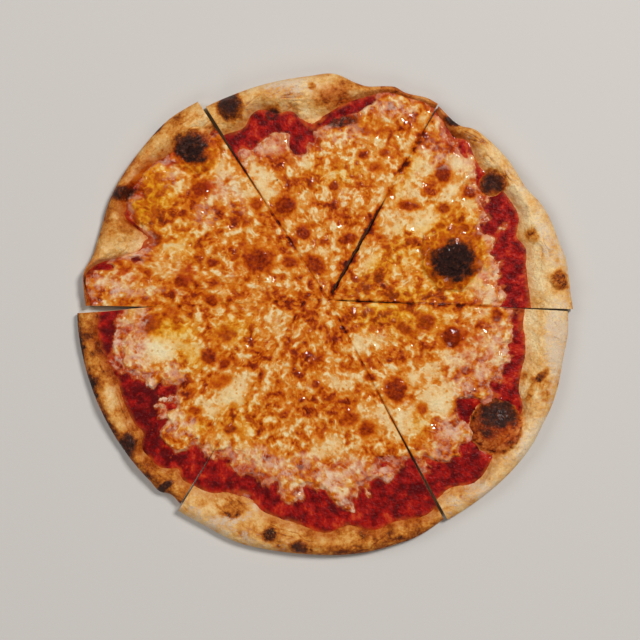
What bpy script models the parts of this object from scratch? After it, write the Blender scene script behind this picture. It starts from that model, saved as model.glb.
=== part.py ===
"""A round cheese and tomato pizza, baked and cut into six slices that still lie together.

Each slice is three solids: the dough, with its raised rim and its bubbles, the tomato sauce on the
dough's flat bed, and the melted cheese on the sauce. Everything is laid out in polar form round the
point where the knife cuts cross, and the angles run counter-clockwise from +X. Metres, +Z up.
"""

import math
from dataclasses import dataclass

import bmesh
import bpy
from mathutils import Vector, noise

MM = 0.001

# The cuts cross a little off the middle of the pizza's box, whose centre is the origin.
CROSSING = Vector((1.94 * MM, 10.27 * MM, 0))

# Layers, from the underside up. Neighbouring layers stay one gap apart.
BED_TOP = 4.0 * MM
SAUCE_THICKNESS = 1.3 * MM
CHEESE_THICKNESS = 2.4 * MM
LAYER_GAP = 0.3 * MM
SAUCE_BOTTOM = BED_TOP + LAYER_GAP
SAUCE_TOP = SAUCE_BOTTOM + SAUCE_THICKNESS
CHEESE_BOTTOM = SAUCE_TOP + LAYER_GAP

# The knife leaves this much between two slices even where the cheese has run together.
CLOSED_GAP = 0.4 * MM
RIM_RADIUS = 178 * MM

# The raised rim, seen in section.
WIDEST_HUMP = 31 * MM
EDGE_TOP = 3.6 * MM
EDGE_BOTTOM = 1.4 * MM
UNDERCUT = 2.5 * MM
UNDERSIDE_LIFT_FROM = 9 * MM
CREST_FROM_EDGE = 0.42
RIM_LUMP = 0.9 * MM
RIM_LUMP_SIZE = 17 * MM

# The cheese's surface.
CHEESE_EDGE = 0.9 * MM
CHEESE_FEATHER = 9 * MM
CHEESE_LUMP = 0.8 * MM
CHEESE_LUMP_SIZE = 11 * MM
SAUCE_EDGE_THINNING = 0.6 * MM
SAUCE_FEATHER = 5 * MM

# How finely a slice is divided.
COLUMNS = 24
CHEESE_ROWS = 14
SAUCE_ROWS = 3
RIM_ROWS = 9
BED_ROW = 110 * MM
WELD = 0.02 * MM


@dataclass(frozen=True)
class Cut:
    """A straight knife cut. angle is in degrees, and offset is how far its line passes the crossing."""

    angle: float
    offset: float
    opens_from: float
    rim_gap: float


@dataclass(frozen=True)
class Slice:
    """One slice. Its tuples run evenly from its first cut to its second, and are smoothed between.

    tip_cut is the cut that bounds its tip, where its first cut stops short of the crossing.
    """

    name: str
    tip_cut: int
    first: int
    second: int
    outer: tuple
    crust: tuple
    cheese: tuple
    crest: tuple


@dataclass(frozen=True)
class Bubble:
    """A blister that the oven raised. angle is in degrees, and size is its half width across and along."""

    angle: float
    radius: float
    across: float
    along: float
    height: float


CUTS = (
    Cut(angle=-2.4, offset=0, opens_from=120 * MM, rim_gap=1.6 * MM),
    Cut(angle=60.5, offset=0, opens_from=6 * MM, rim_gap=2.0 * MM),
    Cut(angle=122.8, offset=0, opens_from=95 * MM, rim_gap=3.2 * MM),
    Cut(angle=182.2, offset=0, opens_from=120 * MM, rim_gap=5.0 * MM),
    Cut(angle=238.6, offset=-13.7 * MM, opens_from=125 * MM, rim_gap=2.6 * MM),
    Cut(angle=298.2, offset=0, opens_from=105 * MM, rim_gap=2.6 * MM),
)

# Radii and heights in millimetres. crust is where the rim's dough comes up out of the sauce.
SLICES = (
    Slice(
        name="slice_1",
        tip_cut=0,
        first=0,
        second=1,
        outer=(179, 176, 173.5, 171, 167, 166, 165, 160, 162),
        crust=(147, 147, 149, 146, 153, 152, 149, 151, 158),
        cheese=(123, 125, 118, 121, 124, 138, 146, 148, 156),
        crest=(12, 12.5, 13, 12, 11, 9),
    ),
    Slice(
        name="slice_2",
        tip_cut=1,
        first=1,
        second=2,
        outer=(163, 161, 160, 160, 165, 163.5, 163.5, 164.5, 166.5),
        crust=(159, 157, 155, 144, 133, 138, 145, 143, 139),
        cheese=(157, 155, 150, 130, 127, 112, 113, 114, 116),
        crest=(9, 9, 12, 14, 14, 13),
    ),
    Slice(
        name="slice_3",
        tip_cut=2,
        first=2,
        second=3,
        outer=(171.5, 174.5, 174, 174, 174, 173.5, 173.5, 177, 176),
        crust=(149, 137, 149, 157, 157, 143, 150, 172, 172),
        cheese=(143, 132, 145, 154, 153, 137, 144, 170, 170),
        crest=(12, 12.5, 13, 13, 12, 9),
    ),
    Slice(
        name="slice_4",
        tip_cut=3,
        first=3,
        second=4,
        outer=(183, 184, 182, 183, 183, 184, 183, 184, 181),
        crust=(168, 169, 166.5, 164.5, 166, 167.5, 173, 168, 165),
        cheese=(149, 150, 160, 147, 139, 154, 154, 139, 138),
        crest=(11, 11, 13, 12, 12, 11),
    ),
    Slice(
        name="slice_5",
        tip_cut=3,
        first=4,
        second=5,
        outer=(187, 187, 188.5, 186.5, 185.5, 185.5, 184.5, 183, 180.5),
        crust=(166, 155, 154, 163, 167, 166, 171, 168, 169),
        cheese=(139, 136, 135, 139, 136, 153, 150, 128, 125),
        crest=(12, 13, 13, 12.5, 11, 10),
    ),
    Slice(
        name="slice_6",
        tip_cut=5,
        first=5,
        second=0,
        outer=(181, 181.5, 182, 182, 181, 180, 177.5, 176.5, 174.5),
        crust=(163, 168, 161, 136, 137, 151, 148, 144, 140.5),
        cheese=(138, 142, 135, 131, 132, 138, 130, 125, 125),
        crest=(10, 11, 12, 12, 12, 12),
    ),
)

BUBBLES = (
    Bubble(angle=16.9, radius=94 * MM, across=20 * MM, along=20 * MM, height=9 * MM),
    Bubble(angle=35.6, radius=144 * MM, across=10 * MM, along=9 * MM, height=4 * MM),
    Bubble(angle=4.7, radius=166 * MM, across=7.5 * MM, along=7 * MM, height=3 * MM),
    Bubble(angle=89.0, radius=147 * MM, across=15 * MM, along=12 * MM, height=3 * MM),
    Bubble(angle=117.0, radius=156 * MM, across=9 * MM, along=10 * MM, height=4 * MM),
    Bubble(angle=132.6, radius=146 * MM, across=16 * MM, along=16 * MM, height=8 * MM),
    Bubble(angle=151.6, radius=166 * MM, across=9 * MM, along=7 * MM, height=3 * MM),
    Bubble(angle=246.0, radius=165 * MM, across=14 * MM, along=9 * MM, height=3 * MM),
    Bubble(angle=263.3, radius=179 * MM, across=7 * MM, along=6 * MM, height=2 * MM),
    Bubble(angle=307.4, radius=81 * MM, across=9 * MM, along=9 * MM, height=2 * MM),
    Bubble(angle=323.5, radius=152 * MM, across=18 * MM, along=18 * MM, height=10 * MM),
    Bubble(angle=343.1, radius=92 * MM, across=8 * MM, along=8 * MM, height=2.5 * MM),
)


def smooth(low, high, x):
    """Rises smoothly from 0 at low to 1 at high."""
    t = min(1.0, max(0.0, (x - low) / (high - low)))
    return t * t * (3 - 2 * t)


def along(values, share):
    """The smooth curve through evenly spaced values, in metres, at a share of its length."""
    place = min(max(share, 0.0), 1.0) * (len(values) - 1)
    i = min(int(place), len(values) - 2)
    t = place - i
    before = values[max(i - 1, 0)]
    start, end = values[i], values[i + 1]
    after = values[min(i + 2, len(values) - 1)]
    curve = (
        2 * start
        + (end - before) * t
        + (2 * before - 5 * start + 4 * end - after) * t**2
        + (3 * start - before - 3 * end + after) * t**3
    )
    return 0.5 * curve * MM


def gap_at(cut, radius):
    """How far apart the cut's two walls are at this radius."""
    return CLOSED_GAP + (cut.rim_gap - CLOSED_GAP) * smooth(cut.opens_from, RIM_RADIUS, radius)


def wall_angle(cut, radius, side):
    """The direction of a cut's wall at this radius, in radians. side is +1 past the cut, -1 before it."""
    offset = cut.offset + side * gap_at(cut, radius) / 2
    return math.radians(cut.angle) + math.asin(max(-1.0, min(1.0, offset / radius)))


def walls(piece, radius):
    """The directions of both walls of a slice at this radius."""
    first = max(wall_angle(CUTS[i], radius, 1) for i in (piece.tip_cut, piece.first))
    second = wall_angle(CUTS[piece.second], radius, -1)
    if piece.second < piece.first:
        second += math.tau
    return first, second


def meeting_radius(cut, side, other, other_side):
    """How far from the crossing two walls meet."""
    turn = math.radians(other.angle - cut.angle)
    near = cut.offset + side * CLOSED_GAP / 2
    far = other.offset + other_side * CLOSED_GAP / 2
    square = near**2 + far**2 - 2 * near * far * math.cos(turn)
    return math.sqrt(square) / abs(math.sin(turn))


def inner_radii(piece):
    """The radii where a slice's outline turns near the crossing: its tip, and any corner beside it."""
    bound = CUTS[piece.tip_cut]
    tip = meeting_radius(bound, 1, CUTS[piece.second], -1)
    if piece.tip_cut == piece.first:
        return [tip]
    return [tip, meeting_radius(bound, 1, CUTS[piece.first], 1)]


def place(piece, share, radius):
    """The point of a slice at a share of the way across it, relative to the crossing."""
    first, second = walls(piece, radius)
    angle = first + (second - first) * share
    return Vector((radius * math.cos(angle), radius * math.sin(angle), 0))


def bubble_height(point):
    """How far the bubbles raise the surface at a point."""
    height = 0.0
    for bubble in BUBBLES:
        turn = math.radians(bubble.angle)
        outward = Vector((math.cos(turn), math.sin(turn), 0))
        away = point - outward * bubble.radius
        along_ray = away.dot(outward) / bubble.along
        across_ray = away.cross(outward).z / bubble.across
        distance = along_ray**2 + across_ray**2
        if distance < 1:
            height = max(height, bubble.height * (1 - distance) ** 0.75)
    return height


def rim_height(piece, share, radius, point):
    """The height of the rim's top: a hump that falls steeply and round to the outer edge."""
    outer = along(piece.outer, share)
    width = min(outer - along(piece.crust, share), WIDEST_HUMP)
    from_edge = (outer - radius) / width
    crest = along(piece.crest, share)
    if from_edge < CREST_FROM_EDGE:
        rise = math.sqrt(max(0.0, 1 - (1 - from_edge / CREST_FROM_EDGE) ** 2))
        height = EDGE_TOP + (crest - EDGE_TOP) * rise
    else:
        fall = smooth(CREST_FROM_EDGE, 1.0, from_edge)
        height = crest + (BED_TOP - crest) * fall
    on_hump = smooth(0.0, 0.3, from_edge) * (1 - smooth(0.7, 1.0, from_edge))
    lump = RIM_LUMP * noise.noise(point / RIM_LUMP_SIZE) * on_hump
    return height + lump + bubble_height(point) * smooth(0.0, 0.15, from_edge)


def dough_rows(piece, share):
    """The radii of the dough's rows: the flat bed, then the rim, closer towards its edge."""
    inner, outer = along(piece.crust, share), along(piece.outer, share)
    steps = [math.sin(math.pi / 2 * i / RIM_ROWS) for i in range(RIM_ROWS + 1)]
    rim = [inner + (outer - inner) * step for step in steps]
    return inner_radii(piece) + [BED_ROW] + rim


def dough_top(piece, share, radius, point):
    """The dough's upper surface."""
    if radius <= along(piece.crust, share) + WELD:
        return BED_TOP
    return rim_height(piece, share, radius, point)


def dough_underside(piece, share, radius, point):
    """Where a point of the dough's underside goes: flat on the ground, and tucked in and up at the edge."""
    outer = along(piece.outer, share)
    tuck = smooth(outer - UNDERSIDE_LIFT_FROM, outer, radius)
    return point * (1 - UNDERCUT * tuck / radius) + Vector((0, 0, EDGE_BOTTOM * tuck))


def sauce_rows(piece, share):
    """The radii of the sauce's rows: below the cheese, then the stretch that shows."""
    inner = along(piece.cheese, share)
    outer = along(piece.crust, share) - LAYER_GAP
    shown = [inner + (outer - inner) * i / SAUCE_ROWS for i in range(SAUCE_ROWS + 1)]
    return inner_radii(piece) + [BED_ROW] + shown


def sauce_top(piece, share, radius, point):
    """The sauce's upper surface: flat below the cheese, thinning towards the rim."""
    inner = along(piece.cheese, share)
    outer = along(piece.crust, share)
    if radius <= inner + WELD:
        return SAUCE_TOP
    thinning = SAUCE_EDGE_THINNING * smooth(outer - SAUCE_FEATHER, outer, radius)
    raised = bubble_height(point) * smooth(inner, inner + SAUCE_FEATHER, radius)
    return SAUCE_TOP - thinning + raised


def sauce_underside(piece, share, radius, point):
    """Where a point of the sauce's flat underside goes."""
    return point + Vector((0, 0, SAUCE_BOTTOM))


def cheese_rows(piece, share):
    """The radii of the cheese's rows, spread evenly out to its edge."""
    inner, outer = inner_radii(piece), along(piece.cheese, share)
    step = (outer - inner[-1]) / CHEESE_ROWS
    return inner + [inner[-1] + step * (i + 1) for i in range(CHEESE_ROWS)]


def cheese_top(piece, share, radius, point):
    """The cheese's upper surface, lumpy and feathered out at its edge."""
    outer = along(piece.cheese, share)
    thin = smooth(outer - CHEESE_FEATHER, outer, radius)
    thickness = CHEESE_THICKNESS + (CHEESE_EDGE - CHEESE_THICKNESS) * thin
    lump = CHEESE_LUMP * noise.noise(point / CHEESE_LUMP_SIZE) * (1 - thin)
    return CHEESE_BOTTOM + thickness + lump + bubble_height(point)


def cheese_underside(piece, share, radius, point):
    """Where a point of the cheese's flat underside goes."""
    return point + Vector((0, 0, CHEESE_BOTTOM))


def flatten_underside(bm):
    """Makes one face of all the faces that lie flat at the lowest height."""
    lowest = min(vert.co.z for vert in bm.verts)
    level = [face for face in bm.faces if all(vert.co.z < lowest + WELD / 10 for vert in face.verts)]
    bmesh.ops.dissolve_faces(bm, faces=level)


def layer_mesh(name, piece, rows, top, underside):
    """A closed layer of a slice: a grid laid over the wedge, extruded, and moved to its two surfaces."""
    bm = bmesh.new()
    row_count = len(rows(piece, 0.0)) - 1
    bmesh.ops.create_grid(bm, x_segments=COLUMNS, y_segments=row_count, size=0.5)
    share_of = bm.verts.layers.float.new("share")
    radius_of = bm.verts.layers.float.new("radius")
    for vert in bm.verts:
        share = vert.co.x + 0.5
        radius = rows(piece, share)[round((vert.co.y + 0.5) * row_count)]
        vert[share_of] = share
        vert[radius_of] = radius
        vert.co = place(piece, share, radius)
    upper = list(bm.verts)
    grown = bmesh.ops.extrude_face_region(bm, geom=bm.faces[:])
    lower = [item for item in grown["geom"] if isinstance(item, bmesh.types.BMVert)]
    for vert in upper:
        vert.co.z = top(piece, vert[share_of], vert[radius_of], vert.co.copy())
    for vert in lower:
        vert.co = underside(piece, vert[share_of], vert[radius_of], vert.co.copy())
    bmesh.ops.remove_doubles(bm, verts=bm.verts, dist=WELD)
    flatten_underside(bm)
    bmesh.ops.triangulate(bm, faces=bm.faces, ngon_method="EAR_CLIP")
    bmesh.ops.recalc_face_normals(bm, faces=bm.faces)
    mesh = bpy.data.meshes.new(name)
    bm.to_mesh(mesh)
    bm.free()
    mesh.shade_smooth()
    mesh.set_sharp_from_angle(angle=math.radians(40))
    return mesh


def material(name, colour, roughness):
    """A plain material of one colour."""
    made = bpy.data.materials.new(name)
    made.use_nodes = True
    shader = made.node_tree.nodes["Principled BSDF"]
    shader.inputs["Base Color"].default_value = (*colour, 1)
    shader.inputs["Roughness"].default_value = roughness
    shader.inputs["Metallic"].default_value = 0.0
    return made


def clear_scene():
    """Removes the objects that a new file starts with."""
    for old in list(bpy.data.objects):
        bpy.data.objects.remove(old)


def build():
    """Builds the six slices, each of dough, sauce and cheese, on an empty at the crossing."""
    clear_scene()
    collection = bpy.data.collections.new("Margherita pizza")
    bpy.context.scene.collection.children.link(collection)
    crossing = bpy.data.objects.new("crossing", None)
    crossing.location = CROSSING
    collection.objects.link(crossing)
    crust = material("baked crust", (0.72, 0.47, 0.22), 0.75)
    tomato = material("tomato sauce", (0.42, 0.03, 0.015), 0.35)
    melted = material("melted cheese", (0.80, 0.45, 0.16), 0.4)
    layers = (
        ("dough", dough_rows, dough_top, dough_underside, crust),
        ("sauce", sauce_rows, sauce_top, sauce_underside, tomato),
        ("cheese", cheese_rows, cheese_top, cheese_underside, melted),
    )
    for piece in SLICES:
        for layer, rows, top, underside, finish in layers:
            name = f"{piece.name}_{layer}"
            mesh = layer_mesh(name, piece, rows, top, underside)
            mesh.materials.append(finish)
            solid = bpy.data.objects.new(name, mesh)
            solid.parent = crossing
            collection.objects.link(solid)


build()
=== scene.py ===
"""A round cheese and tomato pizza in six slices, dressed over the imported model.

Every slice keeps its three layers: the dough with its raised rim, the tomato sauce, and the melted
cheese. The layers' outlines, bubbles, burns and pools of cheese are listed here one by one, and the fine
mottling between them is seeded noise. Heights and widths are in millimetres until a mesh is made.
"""

import logging
import math
from dataclasses import dataclass
from enum import Enum

import bmesh
import bpy
import numpy as np
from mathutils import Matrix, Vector


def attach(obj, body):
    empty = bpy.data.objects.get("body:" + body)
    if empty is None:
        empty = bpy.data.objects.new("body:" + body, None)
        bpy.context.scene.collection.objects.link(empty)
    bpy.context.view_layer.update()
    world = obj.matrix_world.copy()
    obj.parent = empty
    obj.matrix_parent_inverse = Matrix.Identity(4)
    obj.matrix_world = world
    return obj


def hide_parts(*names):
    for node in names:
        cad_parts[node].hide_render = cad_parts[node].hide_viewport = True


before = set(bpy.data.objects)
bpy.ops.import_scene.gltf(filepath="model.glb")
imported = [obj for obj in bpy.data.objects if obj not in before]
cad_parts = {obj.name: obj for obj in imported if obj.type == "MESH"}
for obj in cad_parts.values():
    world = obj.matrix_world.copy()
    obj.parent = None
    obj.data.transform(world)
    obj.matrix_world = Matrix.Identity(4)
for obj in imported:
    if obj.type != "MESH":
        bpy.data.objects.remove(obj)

log = logging.getLogger("pizza")

Array = np.ndarray

MM = 0.001
CROSSING = (1.94, 10.27)
BED_TOP = 4.1
EDGE_HEIGHT = 2.8
SAUCE_TOP = 5.5
CHEESE_TOP = 8.0
RIM_RADIUS = 170.0
CREST_SHARE = 0.42
FAR_AWAY = 99.0
SHARP_ANGLE = math.radians(65)
SEED = 11

# Marks are placed by their pixel in the 640 by 640 photograph, and these turn a pixel into millimetres.
MM_PER_PIXEL = 0.7244
ORIGIN_PIXEL = (325.3, 314.2)


# Fields


def smoothstep(low: float | Array, high: float | Array, x: float | Array) -> Array:
    """A smooth step from 0 at low to 1 at high.

    Args:
        low: Where the step starts.
        high: Where it ends.
        x: Where it is read.

    Returns:
        The step's height, from 0 to 1.
    """
    t = np.clip((x - low) / (high - low), 0.0, 1.0)
    return t * t * (3.0 - 2.0 * t)


def mix(low: float | Array, high: float | Array, t: float | Array) -> Array:
    """The value t of the way from low to high."""
    return low + (high - low) * t


@dataclass(frozen=True)
class Noise:
    """Seeded gradient noise over the plane."""

    seed: int

    def _random(self, column: Array, row: Array, salt: int) -> Array:
        """An even random number from 0 to 1 for each cell of a lattice.

        Args:
            column: Each cell's column.
            row: Each cell's row.
            salt: Picks another pattern of the same seed.

        Returns:
            The numbers.
        """
        mixed = column * 374761393 + row * 668265263 + (self.seed + salt) * 982451653
        mixed = (mixed ^ (mixed >> 13)) * 1274126177 & 0xFFFFFFFF
        mixed = (mixed ^ (mixed >> 16)) * 2246822519 & 0xFFFFFFFF
        return (mixed ^ (mixed >> 15)) / 4294967295.0

    def single(self, x: Array, y: Array, size: float, salt: int = 0) -> Array:
        """One layer of noise, from about -1 to 1.

        Args:
            x: Places along X in millimetres.
            y: Places along Y in millimetres.
            size: The width of a lump in millimetres.
            salt: Picks another pattern of the same seed.

        Returns:
            The noise at each place.
        """
        cos, sin = math.cos(salt), math.sin(salt)
        u, v = (x * cos - y * sin) / size + 500.0, (x * sin + y * cos) / size + 500.0
        column, row = np.floor(u).astype(np.int64), np.floor(v).astype(np.int64)
        u, v = u - column, v - row
        ease_u = u * u * u * (u * (u * 6 - 15) + 10)
        ease_v = v * v * v * (v * (v * 6 - 15) + 10)
        total = np.zeros_like(u)
        for right in (0, 1):
            for up in (0, 1):
                turn = self._random(column + right, row + up, salt) * math.tau
                slope = np.cos(turn) * (u - right) + np.sin(turn) * (v - up)
                share_u = ease_u if right else 1 - ease_u
                share_v = ease_v if up else 1 - ease_v
                total += slope * share_u * share_v
        return total * 1.5

    def layered(
        self, x: Array, y: Array, size: float, layers: int = 4, gain: float = 0.55, salt: int = 0
    ) -> Array:
        """Several layers of noise, each half the size of the one before.

        Args:
            x: Places along X in millimetres.
            y: Places along Y in millimetres.
            size: The width of the largest lumps.
            layers: How many layers.
            gain: How strong each layer is beside the one before.
            salt: Picks another pattern of the same seed.

        Returns:
            The noise at each place, with a spread of about 0.35.
        """
        total, strength, weight = np.zeros_like(x), 1.0, 0.0
        for layer in range(layers):
            total += strength * self.single(x, y, size / 2**layer, salt * 31 + layer)
            weight += strength**2
            strength *= gain
        return total / math.sqrt(weight)

    def spots(
        self, x: Array, y: Array, cell: float, smallest: float, largest: float, share: float, salt: int
    ) -> Array:
        """Round spots scattered at random, each highest at its middle.

        Args:
            x: Places along X in millimetres.
            y: Places along Y in millimetres.
            cell: The lattice's width, which holds at most one spot a cell.
            smallest: The least radius of a spot.
            largest: The greatest.
            share: The share of the cells that hold a spot.
            salt: Picks another pattern of the same seed.

        Returns:
            From 0 between the spots to 1 at a spot's middle.
        """
        column, row = np.floor(x / cell).astype(np.int64), np.floor(y / cell).astype(np.int64)
        highest = np.zeros_like(x)
        for right in (-1, 0, 1):
            for up in (-1, 0, 1):
                c, r = column + right + 4096, row + up + 4096
                middle_x = (column + right + self._random(c, r, salt)) * cell
                middle_y = (row + up + self._random(c, r, salt + 1)) * cell
                radius = smallest + (largest - smallest) * self._random(c, r, salt + 2) ** 2
                there = self._random(c, r, salt + 3) < share
                distance = np.hypot(x - middle_x, y - middle_y) / radius
                highest = np.maximum(highest, np.where(there, 1 - distance, 0.0))
        return highest


@dataclass(frozen=True)
class Outline:
    """A radius that changes smoothly with the direction, through (degrees, millimetres) knots."""

    knots: tuple[tuple[float, float], ...]

    def at(self, angle: Array) -> Array:
        """The radius in each direction, on a smooth curve through the knots.

        Args:
            angle: Directions in degrees.

        Returns:
            The radii in millimetres.
        """
        degree, radius = np.array(self.knots, float).T
        slope = np.gradient(radius, degree)
        i = np.clip(np.searchsorted(degree, angle) - 1, 0, len(degree) - 2)
        span = degree[i + 1] - degree[i]
        t = np.clip((angle - degree[i]) / span, 0.0, 1.0)
        start = (1 + 2 * t) * (1 - t) ** 2 * radius[i] + t * (1 - t) ** 2 * span * slope[i]
        end = t * t * (3 - 2 * t) * radius[i + 1] + t * t * (t - 1) * span * slope[i + 1]
        return start + end


@dataclass(frozen=True)
class Cut:
    """A straight knife cut. Its line passes the crossing at the offset, and it gapes towards the rim."""

    angle: float
    offset: float
    opens_from: float
    rim_gap: float
    crease: float
    inner_gap: float = 0.0
    inner_reach: float = 110.0
    rim_radius: float = 178.0

    def wall(self, radius: Array, side: int, closed: float, opened: float = 1.0) -> Array:
        """The direction of one wall of the cut, in degrees.

        Args:
            radius: Distances from the crossing.
            side: 1 for the wall past the cut, counter-clockwise, and -1 for the one before it.
            closed: The gap between the walls where the slices still touch.
            opened: How much of the inner gap this layer shows.

        Returns:
            The wall's direction at each distance.
        """
        gap = closed + (self.rim_gap - closed) * smoothstep(self.opens_from, self.rim_radius, radius)
        inner = smoothstep(3, 12, radius)
        inner = inner * (1 - smoothstep(0.6 * self.inner_reach, self.inner_reach, radius))
        ragged = 1 + 0.6 * Noise(SEED).layered(radius, np.full_like(radius, side * 40.0), 7.0, 2, salt=95)
        gap = gap + self.inner_gap * opened * inner * ragged
        return self.angle + np.degrees(np.arcsin(np.clip((self.offset + side * gap / 2) / radius, -1, 1)))

    def distance(self, x: Array, y: Array) -> Array:
        """How far places lie from the cut's line, and a long way where they lie behind the crossing.

        Args:
            x: Places along X in millimetres from the crossing.
            y: Places along Y.

        Returns:
            The distances in millimetres.
        """
        turn = math.radians(self.angle)
        across = -x * math.sin(turn) + y * math.cos(turn) - self.offset
        ahead = x * math.cos(turn) + y * math.sin(turn)
        return np.where(ahead > 0, np.abs(across), FAR_AWAY)


CUTS = (
    Cut(angle=-2.4, offset=0.0, opens_from=120, rim_gap=1.6, crease=1.0, inner_gap=0.8, inner_reach=68),
    Cut(angle=60.5, offset=0.0, opens_from=125, rim_gap=1.6, crease=1.0, inner_gap=2.4, inner_reach=92),
    Cut(angle=122.8, offset=0.0, opens_from=62, rim_gap=2.8, crease=1.0),
    Cut(angle=182.2, offset=0.0, opens_from=120, rim_gap=5.0, crease=0.25),
    Cut(angle=238.6, offset=-13.7, opens_from=120, rim_gap=1.4, crease=0.4),
    Cut(angle=298.2, offset=0.0, opens_from=55, rim_gap=2.2, crease=1.0),
)


class Kind(Enum):
    """What a mark on the pizza is."""

    BUBBLE = "a dome that the oven raised"
    CHAR = "burnt black"
    BROWN = "a brown blister in the cheese"
    CREAM = "a pale pool of cheese"
    GOLD = "yellow cheese or oil"
    TOASTED = "a wider stretch of darker cheese"
    RUDDY = "cheese so thin that the sauce shows through"
    CHEESE = "a patch of cheese on the sauce"
    FILM = "cheese run out to a milky film"
    BARE = "sauce without cheese"
    DEEP = "darker sauce"
    DOUGH = "dough pushed up through the sauce"
    CRUST_BROWN = "a browner place on the rim"
    CRUST_PALE = "a paler place on the rim"
    FLOUR = "flour on the rim"


@dataclass(frozen=True)
class Mark:
    """One mark, an oval with a wavering edge. x and y are pixels, and across and along half sizes in mm."""

    kind: Kind
    x: float
    y: float
    across: float
    along: float
    turn: float = 0.0
    amount: float = 1.0

    def across_and_along(self, x: Array, y: Array, scale: float = 1.0) -> tuple[Array, Array]:
        """Where places lie on the mark's own two axes, as shares of its half sizes.

        Args:
            x: Places along X in millimetres from the crossing.
            y: Places along Y.
            scale: How large the mark is beside its own size.

        Returns:
            The shares across and along.
        """
        right = x - ((self.x - ORIGIN_PIXEL[0]) * MM_PER_PIXEL - CROSSING[0])
        up = y - ((ORIGIN_PIXEL[1] - self.y) * MM_PER_PIXEL - CROSSING[1])
        cos, sin = math.cos(math.radians(self.turn)), math.sin(math.radians(self.turn))
        across = (right * cos + up * sin) / (self.across * scale)
        return across, (up * cos - right * sin) / (self.along * scale)


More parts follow.
